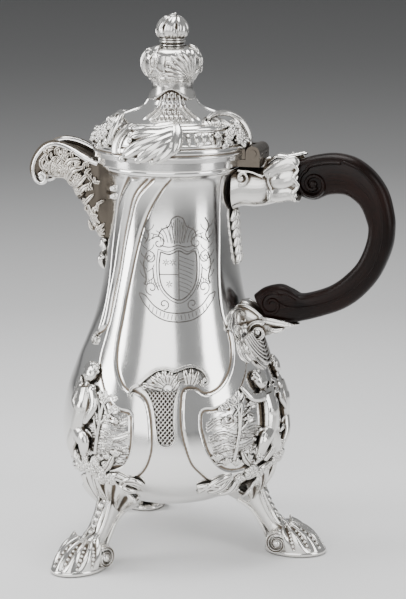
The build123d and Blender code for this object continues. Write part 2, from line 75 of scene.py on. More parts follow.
def smooth_line(points, count):
    """Evenly spaced points on a smooth line through the given ones."""
    points = np.asarray(points, float)
    if len(points) == 2:
        return points[0] + (points[1] - points[0]) * np.linspace(0, 1, count)[:, None]
    padded = np.vstack([2 * points[0] - points[1], points, 2 * points[-1] - points[-2]])
    fine = []
    for i in range(1, len(padded) - 2):
        a, b, c, d = padded[i - 1 : i + 3]
        t = np.linspace(0, 1, 24, endpoint=False)[:, None]
        fine.append(
            0.5 * (2 * b + (c - a) * t + (2 * a - 5 * b + 4 * c - d) * t**2 + (3 * b - a - 3 * c + d) * t**3)
        )
    fine = np.vstack(fine + [points[-1:]])
    steps = np.linalg.norm(np.diff(fine, axis=0), axis=1)
    length = np.concatenate([[0], np.cumsum(steps)])
    at = np.linspace(0, length[-1], count)
    return np.stack([np.interp(at, length, fine[:, k]) for k in range(fine.shape[1])], axis=1)


def spiral(middle, start_r, end_r, start, turn, count=40):
    """A flat spiral; angles in degrees."""
    t = np.linspace(0, 1, count)
    angle = np.radians(start + turn * t)
    radius = start_r + (end_r - start_r) * t
    return np.stack([middle[0] + radius * np.cos(angle), middle[1] + radius * np.sin(angle)], axis=1)


def smoothstep(x):
    """A smooth step from 0 to 1 as x goes from 0 to 1."""
    x = np.clip(x, 0, 1)
    return x * x * (3 - 2 * x)


def parts_of(points):
    """The three coordinates of points, apart."""
    return np.moveaxis(np.asarray(points, float), -1, 0)


class Turned:
    """A surface of revolution that ornament is laid on. Its profile runs upwards."""

    def __init__(self, profile, count=900):
        self.line = smooth_line(profile, count)
        self.r, self.z = self.line[:, 0], self.line[:, 1]
        steps = np.linalg.norm(np.diff(self.line, axis=0), axis=1)
        self.s = np.concatenate([[0], np.cumsum(steps)])
        tangent = np.gradient(self.line, axis=0)
        tangent /= np.linalg.norm(tangent, axis=1)[:, None]
        self.nr, self.nz = tangent[:, 1], -tangent[:, 0]

    def at_z(self, z):
        """The distance along the profile at a height."""
        return np.interp(z, self.z, self.s)

    def place(self, azimuth, s, lift):
        """Points at an azimuth in degrees, a distance along the profile, and a height over the surface."""
        azimuth, s, lift = np.broadcast_arrays(np.radians(azimuth), s, lift)
        below = np.minimum(s, 0)
        above = np.maximum(s - self.s[-1], 0)
        r = np.interp(s, self.s, self.r) + np.interp(s, self.s, self.nr) * lift
        z = np.interp(s, self.s, self.z) + np.interp(s, self.s, self.nz) * lift + below + above
        return np.stack([r * np.cos(azimuth), r * np.sin(azimuth), z], axis=-1)

    def warp(self, azimuth, s):
        """A function that lays flat ornament (right, up, lift) on the surface about one point."""

        def lay(points):
            across, up, lift = parts_of(points)
            r = np.maximum(np.interp(s + up, self.s, self.r), 3.0)
            return self.place(azimuth + np.degrees(across / r), s + up, lift)

        return lay


BODY_PROFILE = [
    (0.02, 27), (14, 28), (26, 31), (36, 35.2), (44, 40.2), (50, 46.2), (54.3, 54), (56.4, 62), (56.8, 68),
    (56.4, 74), (55.4, 81), (53.8, 88.5), (51.2, 96), (48.2, 104), (44.8, 112), (41.6, 120), (39, 128),
    (36.6, 138), (34.8, 148), (33.3, 160), (32.1, 172), (31.5, 184), (31.6, 194), (32.4, 198.5), (34.2, 201),
]
LID_PROFILE = [
    (40, 208.4), (40.1, 212.5), (39.6, 216), (37.6, 220), (34, 224), (28.5, 227.2), (22, 229.4), (17, 231.2),
    (13.6, 233.3), (11.6, 236.3),
]
BODY = Turned(BODY_PROFILE)
LID = Turned(LID_PROFILE)


def on_body(azimuth, z):
    """Lays flat ornament on the body about one point."""
    return BODY.warp(azimuth, BODY.at_z(z))


def turn_about_axis(points, azimuth):
    """The points turned about the body's axis."""
    c, s = math.cos(math.radians(azimuth)), math.sin(math.radians(azimuth))
    points = np.asarray(points, float)
    return points @ np.array([[c, s, 0], [-s, c, 0], [0, 0, 1]])


# ---- shaped elements of cast ornament: each returns points and faces -------------------------------


def grid_faces(rows, columns, closed_rows=False, closed_columns=False, start=0):
    """The quads of a grid of points."""
    i = np.arange(rows if closed_rows else rows - 1)
    j = np.arange(columns if closed_columns else columns - 1)
    i, j = np.meshgrid(i, j, indexing="ij")
    i, j = i.ravel(), j.ravel()
    i2, j2 = (i + 1) % rows, (j + 1) % columns
    quads = np.stack([i * columns + j, i2 * columns + j, i2 * columns + j2, i * columns + j2], axis=1)
    return (quads + start).tolist()


def tube(rings):
    """A closed skin over rings of points, with a middle point on each end."""
    rings = np.asarray(rings, float)
    n, m, _ = rings.shape
    points = np.vstack([rings.reshape(-1, 3), rings[0].mean(0), rings[-1].mean(0)])
    faces = grid_faces(n, m, closed_columns=True)
    first, last = n * m, n * m + 1
    for j in range(m):
        k = (j + 1) % m
        faces.append([first, k, j])
        faces.append([last, (n - 1) * m + j, (n - 1) * m + k])
    return points, faces


def side_vectors(path):
    """Unit vectors across a path, in the flat plane of the ornament."""
    tangent = np.gradient(path[:, :2], axis=0)
    tangent /= np.maximum(np.linalg.norm(tangent, axis=1), 1e-9)[:, None]
    return np.stack([-tangent[:, 1], tangent[:, 0], np.zeros(len(path))], axis=1)


def lobe(points, width, height, crease=0.35, tip=0.12, base=0.45, lift=0.0, count=26, sink=0.8, lean=0.0):
    """A leaf lobe along a flat path: widest in its middle, creased down its length, pointed at its tip."""
    points = np.asarray(points, float)
    if points.shape[1] == 2:
        points = np.column_stack([points, np.full(len(points), lift)])
    path = smooth_line(points, count)
    t = np.linspace(0, 1, count)
    half = width * (
        tip + (1 - tip) * np.sin(np.pi * np.clip(base * 0.5 + t * (1 - base * 0.5), 0, 1)) ** 0.55
    ) * np.minimum(1, (1.02 - t) * 9) ** 0.5
    across = np.linspace(-1, 1, 11)
    dome = (1 - across**2) ** 0.55
    section = dome - crease * np.exp(-((across / 0.28) ** 2)) + lean * across * dome
    side = side_vectors(path)
    rings = []
    for k in range(count):
        top = path[k] + side[k] * (across * half[k])[:, None]
        rise = height * (0.35 + 0.65 * half[k] / width)
        top[:, 2] += section * rise
        low = path[k] + side[k] * (np.array([0.8, -0.8]) * half[k])[:, None]
        low[:, 2] -= sink
        rings.append(np.vstack([top, low]))
    return tube(rings)


def ribbon(points, width, height, hollow=0.0, sink=0.8, count=60, taper=(1.0, 1.0), edge=0.22):
    """A band along a flat path, with rounded edges and an optional hollow along its middle."""
    points = np.asarray(points, float)
    if points.shape[1] == 2:
        points = np.column_stack([points, np.zeros(len(points))])
    path = smooth_line(points, count)
    t = np.linspace(0, 1, count)
    half = width / 2 * (taper[0] + (taper[1] - taper[0]) * t)
    across = np.linspace(-1, 1, 13)
    section = smoothstep((1 - np.abs(across)) / edge) ** 0.7 - hollow * np.cos(across * np.pi / 2) ** 2
    side = side_vectors(path)
    rings = []
    for k in range(count):
        top = path[k] + side[k] * (across * half[k])[:, None]
        top[:, 2] += section * height
        low = path[k] + side[k] * (np.array([1, -1]) * half[k])[:, None]
        low[:, 2] -= sink
        rings.append(np.vstack([top, low]))
    return tube(rings)


def cord_of(points, radius, count=50, sides=10, flat=1.0):
    """A round stem along a path of three coordinates, or of two on the surface."""
    points = np.asarray(points, float)
    if points.shape[1] == 2:
        points = np.column_stack([points, np.zeros(len(points))])
    path = smooth_line(points, count)
    radius = np.broadcast_to(np.interp(np.linspace(0, 1, count), np.linspace(0, 1, np.size(radius)), radius), count)
    tangent = np.gradient(path, axis=0)
    tangent /= np.maximum(np.linalg.norm(tangent, axis=1), 1e-9)[:, None]
    normal = np.array([0.0, 0.0, 1.0]) if abs(tangent[0][2]) < 0.9 else np.array([1.0, 0.0, 0.0])
    angle = np.linspace(0, 2 * np.pi, sides, endpoint=False)
    rings = []
    for k in range(count):
        normal = normal - tangent[k] * (normal @ tangent[k])
        normal /= np.linalg.norm(normal)
        across = np.cross(tangent[k], normal)
        ring = path[k] + radius[k] * (np.cos(angle)[:, None] * across + flat * np.sin(angle)[:, None] * normal)
        rings.append(ring)
    return tube(rings)


def pearl(middle, radius, squash=(1, 1, 1), sides=14):
    """A ball, or an egg where it is squashed."""
    v = np.linspace(0, np.pi, sides // 2 + 1)[1:-1]
    u = np.linspace(0, 2 * np.pi, sides, endpoint=False)
    rings = np.stack(
        [
            np.sin(v)[:, None] * np.cos(u)[None],
            np.sin(v)[:, None] * np.sin(u)[None],
            np.repeat(np.cos(v)[:, None], sides, 1),
        ],
        axis=-1,
    )
    points, faces = tube(rings)
    points[-2], points[-1] = (0, 0, 1), (0, 0, -1)
    return points * radius * np.array(squash) + np.array(middle, float), faces


def flower(middle, radius, petals=5, height=1.6, turn=0.0):
    """A rosette of cupped petals about a pearl, as a list of elements."""
    parts = []
    for k in range(petals):
        a = math.radians(turn + k * 360 / petals)
        step = np.array([math.cos(a), math.sin(a)])
        path = [
            np.append(middle[:2] + step * radius * f, middle[2] + w)
            for f, w in ((0.1, 0.1), (0.6, 0.5), (1.0, 0.1))
        ]
        parts.append(lobe(path, radius * 0.52, height, crease=0.45, tip=0.5, base=0.3, count=10))
    parts.append(pearl(np.array(middle) + (0, 0, height * 0.75), radius * 0.3, (1, 1, 0.8)))
    return parts


class Casting:
    """Gathers shaped elements and makes one object of them."""

    def __init__(self):
        self.points, self.faces, self.count = [], [], 0

    def add(self, element, lay=None):
        """Adds one element or a list of them, laid on a surface if lay is given."""
        if isinstance(element, list):
            for part in element:
                self.add(part, lay)
            return self
        points, faces = element
        points = np.asarray(points, float)
        if lay is not None:
            points = lay(points)
        self.points.append(points)
        self.faces += [[index + self.count for index in face] for face in faces]
        self.count += len(points)
        return self

    def turned(self, azimuth, flip=False):
        """A copy turned about the body's axis, and mirrored across the handle's plane if flip is set."""
        other = Casting()
        points = np.vstack(self.points)
        faces = self.faces
        if flip:
            points = points * (1, -1, 1)
            faces = [face[::-1] for face in faces]
        return other.add((turn_about_axis(points, azimuth), faces))

    def make(self, name, fuse=0.0, soften=2):
        """The finished mesh object, fused into one skin where fuse gives the size of its grain."""
        points = in_frame(np.vstack(self.points))
        mesh = bpy.data.meshes.new(name)
        mesh.from_pydata(points.tolist(), [], self.faces)
        mesh.update()
        obj = bpy.data.objects.new(name, mesh)
        bpy.context.collection.objects.link(obj)
        only(obj)
        bpy.ops.object.mode_set(mode="EDIT")
        bpy.ops.mesh.select_all(action="SELECT")
        bpy.ops.mesh.normals_make_consistent(inside=False)
        bpy.ops.object.mode_set(mode="OBJECT")
        if fuse:
            remesh = obj.modifiers.new("Fuse", "REMESH")
            remesh.mode = "VOXEL"
            remesh.voxel_size = fuse * MM
            bpy.ops.object.modifier_apply(modifier=remesh.name)
            if soften:
                smooth = obj.modifiers.new("Soften", "SMOOTH")
                smooth.factor = 0.5
                smooth.iterations = soften
                bpy.ops.object.modifier_apply(modifier=smooth.name)
        return obj


def only(obj):
    """Leaves one object selected and active."""
    bpy.ops.object.select_all(action="DESELECT")
    obj.select_set(True)
    bpy.context.view_layer.objects.active = obj


def note_hollows(obj, rounds=(3, 14), gain=(2.4, 1.6)):
    """Stores how deep each point lies in a hollow, for the dark finish there."""
    mesh = obj.data
    count = len(mesh.vertices)
    at = np.empty(count * 3)
    mesh.vertices.foreach_get("co", at)
    at = at.reshape(-1, 3) / MM
    normal = np.empty(count * 3)
    mesh.vertices.foreach_get("normal", normal)
    normal = normal.reshape(-1, 3)
    edges = np.empty(len(mesh.edges) * 2, int)
    mesh.edges.foreach_get("vertices", edges)
    a, b = edges[0::2], edges[1::2]
    degree = np.maximum(np.bincount(a, minlength=count) + np.bincount(b, minlength=count), 1)[:, None]
    total = np.zeros(count)
    mean = at.copy()
    done = 0
    for turns, strength in zip(rounds, gain):
        while done < turns:
            gathered = np.zeros_like(mean)
            for axis in range(3):
                gathered[:, axis] = np.bincount(a, mean[b, axis], count) + np.bincount(b, mean[a, axis], count)
            mean = 0.4 * mean + 0.6 * gathered / degree
            done += 1
        depth = ((mean - at) * normal).sum(1)
        total += strength * depth
    value = np.clip(total, -1, 1) * 0.5 + 0.5
    layer = mesh.attributes.new("hollows", "FLOAT", "POINT")
    layer.data.foreach_set("value", value.astype(np.float32))


def finish_piece(obj, finish, body, node, angle=None, hollows=True):
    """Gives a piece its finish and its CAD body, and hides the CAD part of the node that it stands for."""
    only(obj)
    if angle is None:
        bpy.ops.object.shade_smooth()
    else:
        bpy.ops.object.shade_smooth_by_angle(angle=math.radians(angle))
    if hollows:
        note_hollows(obj)
    obj.data.materials.clear()
    obj.data.materials.append(FINISH[finish])
    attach(obj, body)
    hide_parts(node)


FINISH = {}  # the materials by name, made when the build starts

# ---- finishes ----------------------------------------------------------------------------------------


def new_material(name):
    """A new material with its node tree and its shader."""
    material = bpy.data.materials.new(name)
    material.use_nodes = True
    tree = material.node_tree
    shader = tree.nodes["Principled BSDF"]
    return material, tree, shader


def join_nodes(tree, source, target):
    """Links one socket to another."""
    tree.links.new(source, target)


def noise_node(tree, scale, detail=3.0, roughness=0.55, stretch=(1, 1, 1)):
    """A noise texture in object coordinates, stretched along the axes."""
    place = tree.nodes.new("ShaderNodeTexCoord")
    mapping = tree.nodes.new("ShaderNodeMapping")
    mapping.inputs["Scale"].default_value = stretch
    noise = tree.nodes.new("ShaderNodeTexNoise")
    noise.inputs["Scale"].default_value = scale
    noise.inputs["Detail"].default_value = detail
    noise.inputs["Roughness"].default_value = roughness
    join_nodes(tree, place.outputs["Object"], mapping.inputs["Vector"])
    join_nodes(tree, mapping.outputs["Vector"], noise.inputs["Vector"])
    return noise


def ramp_node(tree, source, stops):
    """A colour ramp over a value; stops are (position, colour)."""
    ramp = tree.nodes.new("ShaderNodeValToRGB")
    ramp.color_ramp.elements[0].position, ramp.color_ramp.elements[0].color = stops[0][0], (*stops[0][1], 1)
    ramp.color_ramp.elements[1].position, ramp.color_ramp.elements[1].color = stops[-1][0], (*stops[-1][1], 1)
    for position, colour in stops[1:-1]:
        ramp.color_ramp.elements.new(position).color = (*colour, 1)
    join_nodes(tree, source, ramp.inputs["Fac"])
    return ramp.outputs["Color"]


def math_node(tree, operation, a, b):
    """The result of a sum on two values or sockets."""
    node = tree.nodes.new("ShaderNodeMath")
    node.operation = operation
    for socket, value in zip(node.inputs, (a, b)):
        if isinstance(value, (int, float)):
            socket.default_value = value
        else:
            join_nodes(tree, value, socket)
    return node.outputs[0]


def silver(name, bright, patina_and_shade, roughness, hollow_from, bump=0.02, grain=900.0, reach=0.004, painted_shade=0.3):
    """Polished silver whose hollows keep a dark warm patina; its colour also takes painted shade from ambient
    occlusion in corners, under castings and between parts.
    """
    material, tree, shader = new_material(name)
    shader.inputs["Metallic"].default_value = 1.0
    hollows = tree.nodes.new("ShaderNodeAttribute")
    hollows.attribute_name = "hollows"
    cloud = noise_node(tree, 160.0, 4.0)
    spread = math_node(tree, "MULTIPLY", math_node(tree, "SUBTRACT", cloud.outputs["Fac"], 0.5), 0.10)
    # Painted shade: ambient occlusion darkens the colour in corners, under castings and between parts.
    corner = tree.nodes.new("ShaderNodeAmbientOcclusion")
    corner.samples = 8
    corner.inputs["Distance"].default_value = reach
    shade = math_node(tree, "MULTIPLY", math_node(tree, "SUBTRACT", 1.0, corner.outputs["AO"]), painted_shade)
    depth = math_node(tree, "ADD", math_node(tree, "ADD", hollows.outputs["Fac"], spread), shade)
    colour = ramp_node(
        tree,
        depth,
        [
            (0.3, bright), (hollow_from, bright), (hollow_from + 0.09, [c * 0.62 for c in bright]),
            (hollow_from + 0.24, patina_and_shade)
        ],
    )
    join_nodes(tree, colour, shader.inputs["Base Color"])
    rub = noise_node(tree, grain, 2.0, stretch=(1, 1, 0.3))
    rough = ramp_node(
        tree, depth, [(0.45, (roughness,) * 3), (hollow_from + 0.05, (roughness + 0.1,) * 3), (0.85, (0.5,) * 3)]
    )
    mixed = math_node(
        tree, "MULTIPLY", math_node(tree, "ADD", math_node(tree, "MULTIPLY", rub.outputs["Fac"], 0.5), 0.75), rough
    )
    join_nodes(tree, mixed, shader.inputs["Roughness"])
    bumps = tree.nodes.new("ShaderNodeBump")
    bumps.inputs["Strength"].default_value = bump
    bumps.inputs["Distance"].default_value = 0.0004
    dents = noise_node(tree, 240.0, 3.0)
    join_nodes(tree, dents.outputs["Fac"], bumps.inputs["Height"])
    join_nodes(tree, bumps.outputs["Normal"], shader.inputs["Normal"])
    return material


def engraved_silver():
    """The dark matt bottom of an engraved line."""
    material, tree, shader = new_material("engraved_line")
    shader.inputs["Metallic"].default_value = 0.8
    noise = noise_node(tree, 700.0, 2.0)
    colour = ramp_node(tree, noise.outputs["Fac"], [(0.3, (0.07, 0.065, 0.06)), (0.7, (0.17, 0.16, 0.15))])
    join_nodes(tree, colour, shader.inputs["Base Color"])
    shader.inputs["Roughness"].default_value = 0.5
    return material


def dark_wood(name, deep, warm):
    """Nearly black stained wood with a fine grain along the handle and a waxed shine."""
    material, tree, shader = new_material(name)
    uv = tree.nodes.new("ShaderNodeUVMap")
    uv.uv_map = "grain"
    mapping = tree.nodes.new("ShaderNodeMapping")
    mapping.inputs["Scale"].default_value = (3.0, 60.0, 1.0)
    fibre = tree.nodes.new("ShaderNodeTexNoise")
    fibre.inputs["Scale"].default_value = 3.0
    fibre.inputs["Detail"].default_value = 8.0
    fibre.inputs["Roughness"].default_value = 0.65
    join_nodes(tree, uv.outputs["UV"], mapping.inputs["Vector"])
    join_nodes(tree, mapping.outputs["Vector"], fibre.inputs["Vector"])
    stain = noise_node(tree, 38.0, 3.0)
    mix = math_node(
        tree, "ADD", math_node(tree, "MULTIPLY", fibre.outputs["Fac"], 0.6),
        math_node(tree, "MULTIPLY", stain.outputs["Fac"], 0.4)
    )
    colour = ramp_node(
        tree, mix, [(0.42, deep), (0.56, [a * 0.6 + b * 0.4 for a, b in zip(deep, warm)]), (0.68, warm)]
    )
    join_nodes(tree, colour, shader.inputs["Base Color"])
    rough = ramp_node(tree, fibre.outputs["Fac"], [(0.3, (0.24,) * 3), (0.75, (0.36,) * 3)])
    join_nodes(tree, rough, shader.inputs["Roughness"])
    shader.inputs["Specular IOR Level"].default_value = 0.13
    shader.inputs["Coat Weight"].default_value = 0.05
    shader.inputs["Coat Roughness"].default_value = 0.18
    bumps = tree.nodes.new("ShaderNodeBump")
    bumps.inputs["Strength"].default_value = 0.25
    bumps.inputs["Distance"].default_value = 0.0003
    join_nodes(tree, fibre.outputs["Fac"], bumps.inputs["Height"])
    join_nodes(tree, bumps.outputs["Normal"], shader.inputs["Normal"])
    return material


def finishes(sizes):
    """The pot's finishes, made once and kept by name."""
    made = {}
    bright, cast = tuple(sizes.silver_colour), tuple(sizes.cast_colour)
    made["polished"] = silver("polished_silver", bright, (0.20, 0.165, 0.13), 0.12, 0.565, reach=0.003, painted_shade=0.3)
    made["cast"] = silver("cast_silver", cast, (0.10, 0.08, 0.06), 0.16, 0.55, bump=0.10, reach=0.006, painted_shade=0.85)
    # Darker copies of the silver, painted shade with patina: shaded for the spout's leaves; deep for the spout's beak,
    # the trellis's ground and the hinge.
    made["shaded"] = silver(
        "shaded_silver", (0.72, 0.68, 0.62), (0.07, 0.055, 0.04), 0.22, 0.55, bump=0.12, reach=0.006, painted_shade=1.0
    )
    made["deep"] = silver(
        "deep_shade_silver", (0.13, 0.112, 0.092), (0.03, 0.022, 0.016), 0.34, 0.54, bump=0.12, reach=0.007, painted_shade=1.0
    )
    made["plain"] = silver("plain_silver", (0.86, 0.85, 0.83), (0.2, 0.18, 0.15), 0.26, 0.6, bump=0.05)
    made["engraved"] = engraved_silver()
    made["wood"] = dark_wood("dark_wood", tuple(sizes.wood_colour), tuple(sizes.wood_warmth))
    return made


# ---- body --------------------------------------------------------------------------------------------
PANEL_LEFT = [
    (-74.2, 201), (-86, 192.7), (-95.3, 183.8), (-102.4, 173.8), (-107, 163.8), (-110.2, 153.9), (-113.2, 141),
    (-114.3, 128.3), (-114.2, 119.4), (-111.9, 110.3), (-107.5, 102.7), (-102.9, 97.8), (-98.1, 95.6),
]
LEFT_FRAME_OUT = [
    (-96.2, 96.2), (-89.9, 93.4), (-86.6, 87), (-85.1, 76), (-85.3, 67), (-88.6, 58), (-95, 52), (-106.5, 47.6)
]
LEFT_FRAME_IN = [(-111.1, 55.3), (-102, 58.7), (-97.5, 64.3), (-95.9, 71.5), (-96.2, 79.6), (-97.2, 85.1)]
BAND_LEFT = [
    (-102.3, 85.9), (-108.2, 88), (-115.2, 94.1), (-121, 101), (-125.4, 108.6), (-126.4, 117), (-126, 127),
    (-124.2, 140), (-121.8, 153), (-119.5, 165.2), (-114.6, 178.6), (-107.4, 190.4), (-89.1, 201),
]
FLUTE_LEFT = [
    (-113.3, 201), (-124.8, 194.3), (-134.3, 185.4), (-139.1, 174), (-140.7, 162.8), (-140.2, 151.3), (-138.8, 136),
    (-139.5, 121)
]
FLUTE_RIGHT = [
    (-139, 118), (-129.5, 124), (-129, 140), (-126.0, 152.7), (-123.4, 167.1), (-119.4, 178.3), (-111.8, 190.8),
    (-94.2, 201)
]
PANEL_RIGHT = [
    (-31.1, 122.4), (-31.6, 116.9), (-34.5, 110), (-39.1, 104), (-45.2, 98.8), (-50.9, 96.1), (-56.4, 95.4),
    (-61.5, 98.0)
]
RIGHT_FRAME_OUT = [
    (-68.4, 97.5), (-70.1, 89.5), (-70.1, 80.6), (-68.4, 71.4), (-64.8, 61), (-59.6, 55), (-53.6, 50.2), (-45, 48.0),
    (-36, 48.6), (-27, 51)
]
RIGHT_FRAME_IN = [
    (-26.6, 56.8), (-33.2, 55.1), (-40.2, 54.8), (-46.9, 56.8), (-52.6, 61.3), (-56.6, 67.7), (-58.9, 75.5),
    (-59.7, 81.2), (-58.4, 86.8)
]
BAND_RIGHT = [
    (-52.1, 87.1), (-45.1, 88.9), (-37.7, 91.8), (-31.8, 96.6), (-25.8, 102.3), (-22.8, 108), (-25, 115), (-27.6, 123)
]
LINE_RIGHT = [(-31.1, 122.4), (-33.5, 132), (-33, 144), (-31, 156), (-28, 170), (-26, 186), (-25, 200)]


def flat_metric(azimuth, z):
    """Azimuth and height as millimetres on the body, so that distances can be taken."""
    r = np.interp(z, BODY.z, BODY.r)
    return np.radians(azimuth) * r, BODY.at_z(z)


def distance_to(line, azimuth, z):
    """The distance in millimetres from points of the body to a line on it."""
    px, py = flat_metric(azimuth, z)
    best = np.full(np.shape(azimuth), 1e9)
    for (a0, z0), (a1, z1) in zip(line[:-1], line[1:]):
        scale = np.interp(z, BODY.z, BODY.r)
        x0, x1 = np.radians(a0) * scale, np.radians(a1) * scale
        y0, y1 = BODY.at_z(z0), BODY.at_z(z1)
        dx, dy = x1 - x0, y1 - y0
        t = np.clip(((px - x0) * dx + (py - y0) * dy) / np.maximum(dx * dx + dy * dy, 1e-9), 0, 1)
        best = np.minimum(best, np.hypot(px - x0 - t * dx, py - y0 - t * dy))
    return best


def inside(outline, azimuth, z):
    """Whether points of the body lie inside an outline."""
    hit = np.zeros(np.shape(azimuth), bool)
    for (a0, z0), (a1, z1) in zip(outline, outline[1:] + outline[:1]):
        crosses = (z0 > z) != (z1 > z)
        with np.errstate(divide="ignore", invalid="ignore"):
            at = a0 + (z - z0) * (a1 - a0) / (z1 - z0 if z1 != z0 else 1e-9)
        hit ^= crosses & (azimuth < at)
    return hit


def fine(line, count=60):
    """A smooth line as a list of points, as the outline functions take it."""
    return [tuple(point) for point in smooth_line(line, count)]


def raised(outline, azimuth, z, height, edge):
    """The lift of a raised shape with rounded edges."""
    away = distance_to(outline + outline[:1], azimuth, z)
    return np.where(inside(outline, azimuth, z), smoothstep(away / edge) * height, 0.0)


def groove(line, azimuth, z, depth, width):
    """A soft cut along a line, as a negative lift."""
    return -depth * np.exp(-((distance_to(line, azimuth, z) / width) ** 2))


def body_relief(azimuth, z, height):
    """The chasing of one side of the body, between the handle at 0 and the spout at -180 degrees."""
    left = fine(PANEL_LEFT + LEFT_FRAME_OUT, 90) + fine(LEFT_FRAME_IN + BAND_LEFT, 90)
    flute = fine(FLUTE_LEFT, 50) + fine(FLUTE_RIGHT, 50)
    right = fine(PANEL_RIGHT + RIGHT_FRAME_OUT, 90) + fine(RIGHT_FRAME_IN + BAND_RIGHT, 90)
    lift = raised(left, azimuth, z, height, 1.3)
    lift = np.maximum(lift, raised(flute, azimuth, z, height * 1.1, 3.2))
    lift = np.maximum(lift, raised(right, azimuth, z, height, 1.3))
    for line in (
        PANEL_LEFT + LEFT_FRAME_OUT, LEFT_FRAME_IN + BAND_LEFT, PANEL_RIGHT + RIGHT_FRAME_OUT,
        RIGHT_FRAME_IN + BAND_RIGHT
    ):
        lift = lift + groove(fine(line, 90), azimuth, z, 0.35, 0.55)
    for line in (FLUTE_LEFT, FLUTE_RIGHT):
        lift = lift + groove(fine(line), azimuth, z, 0.5, 0.7)
    lift = lift + groove(fine(LINE_RIGHT), azimuth, z, 0.3, 0.5)
    return lift


BODY_GRID = (300, 330)  # points round half the body and up it
WALL = 1.2  # thickness of the body's wall


class POT_OT_body(bpy.types.Operator):
    """Raises the body's chased skin in two halves and spins its smooth lining"""

    bl_idname = "pot.body"
    bl_label = "Body"

    def execute(self, context):
        sizes = context.scene.pot_sizes
        columns, rows = BODY_GRID
        s = np.linspace(0, BODY.s[-1], rows)
        z = np.interp(s, BODY.s, BODY.z)
        for side, name in ((-1, "body_near_side"), (1, "body_far_side")):
            azimuth = np.linspace(-180, 0, columns) if side < 0 else np.linspace(180, 0, columns)
            a, zz = np.meshgrid(azimuth, z, indexing="ij")
            ss = np.meshgrid(azimuth, s, indexing="ij")[1]
            lift = body_relief(-np.abs(a), zz, sizes.relief / MM)
            lift = lift * smoothstep((BODY.s[-1] - ss) / 3.0)
            points = BODY.place(a, ss, lift)
            faces = grid_faces(columns, rows)
            if side > 0:
                faces = [face[::-1] for face in faces]
            piece = Casting().add((points.reshape(-1, 3), faces))
            obj = plain_object(piece, name)
            finish_piece(obj, "polished", "pot", "body_shell")
        lining = [(r - WALL, zz + 1.0) for r, zz in BODY_PROFILE[1:-1]]
        lining = [(0.0, 28.4)] + lining + [(33.0, 201.6), (33.0, 207.9), (33.3, 208), (34.1, 208)]
        obj = spun("body_lining", lining[::-1], 128)
        finish_piece(obj, "plain", "pot", "body_shell")
        return {"FINISHED"}


def plain_object(piece, name):
    """An object of a casting's points as they are, faces kept as they turn."""
    points = in_frame(np.vstack(piece.points))
    mesh = bpy.data.meshes.new(name)
    mesh.from_pydata(points.tolist(), [], piece.faces)
    mesh.update()
    obj = bpy.data.objects.new(name, mesh)
    bpy.context.collection.objects.link(obj)
    return obj


def spun(name, profile, steps, smooth=0):
    """A turned piece: a profile of radius and height spun about the body's axis."""
    if smooth:
        profile = smooth_line(profile, smooth)
    mesh = bpy.data.meshes.new(name)
    points = in_frame([(r, 0, z) for r, z in profile]).tolist()
    mesh.from_pydata(points, [(i, i + 1) for i in range(len(points) - 1)], [])
    obj = bpy.data.objects.new(name, mesh)
    bpy.context.collection.objects.link(obj)
    only(obj)
    bpy.ops.object.mode_set(mode="EDIT")
    bpy.ops.mesh.select_all(action="SELECT")
    bpy.ops.mesh.spin(steps=steps, angle=math.tau, center=(AXIS_X * MM, 0, 0), axis=(0, 0, 1))
    bpy.ops.mesh.select_all(action="SELECT")
    bpy.ops.mesh.remove_doubles(threshold=0.00001)
    bpy.ops.mesh.normals_make_consistent(inside=False)
    bpy.ops.object.mode_set(mode="OBJECT")
    return obj


LEAF_GRAIN, SOCKET_GRAIN, PUTTO_GRAIN, BUD_GRAIN = 0.30, (0.4, 0.32), 0.34, 0.25  # millimetres, for fusing

# ---- larger shapes -----------------------------------------------------------------------------------


def border_of(n, m):
    """The indices round the edge of a grid, in turn."""
    border = [(0, j) for j in range(m)] + [(i, m - 1) for i in range(1, n)]
    return border + [(n - 1, j) for j in range(m - 2, -1, -1)] + [(i, 0) for i in range(n - 2, 0, -1)]


def capped(top, drop=0.8):
    """A closed piece under a grid of points: its border is carried down and shut."""
    top = np.asarray(top, float)
    n, m, _ = top.shape
    border = border_of(n, m)
    low = np.array([top[i, j] for i, j in border])
    low[:, 2] = np.minimum(low[:, 2], 0) - drop
    points = np.vstack([top.reshape(-1, 3), low, low.mean(0)])
    faces = grid_faces(n, m)
    start, last = n * m, n * m + len(border)
    for k, (i, j) in enumerate(border):
        i2, j2 = border[(k + 1) % len(border)]
        k2 = (k + 1) % len(border)
        faces.append([i * m + j, i2 * m + j2, start + k2, start + k])
        faces.append([last, start + k, start + k2])
    return points, faces


def scallop(hinge, heading, spread, reach, height, ribs, depth=0.35, lift=0.0, curl=0.0, stretch=1.0, drop=0.8):
    """A ribbed shell that fans out from its hinge; heading and half spread in degrees."""
    t = np.linspace(0.04, 1, 26)[:, None]
    a = np.linspace(-1, 1, ribs * 8 + 1)[None, :]
    wave = np.cos(a * ribs * math.pi)
    angle = np.radians(heading + spread * a + curl * t)
    edge = reach * (1 - (1 - stretch) * a**2) * (1 + 0.035 * wave * t)
    dome = np.sin(np.pi * (0.08 + 0.84 * t) ** 0.9) ** 0.8 * (1 - 0.35 * a**2)
    z = lift + height * dome + depth * wave * t**0.7
    x = hinge[0] + edge * t * np.cos(angle)
    y = hinge[1] + edge * t * np.sin(angle)
    return capped(np.stack([x, y, z], axis=-1), drop)


def volute(middle, radius, width, height, start, turn, pearl_size=0.3, count=54):
    """A flat spiral ribbon about a pearl; the turn carries its hand."""
    line = spiral(middle, radius, radius * 0.28, start, turn, count)
    band = ribbon(line, width, height, hollow=0.25, count=count, taper=(1.0, 0.6))
    return [band, pearl((*middle, height * 0.5), radius * pearl_size, (1, 1, 0.9))]


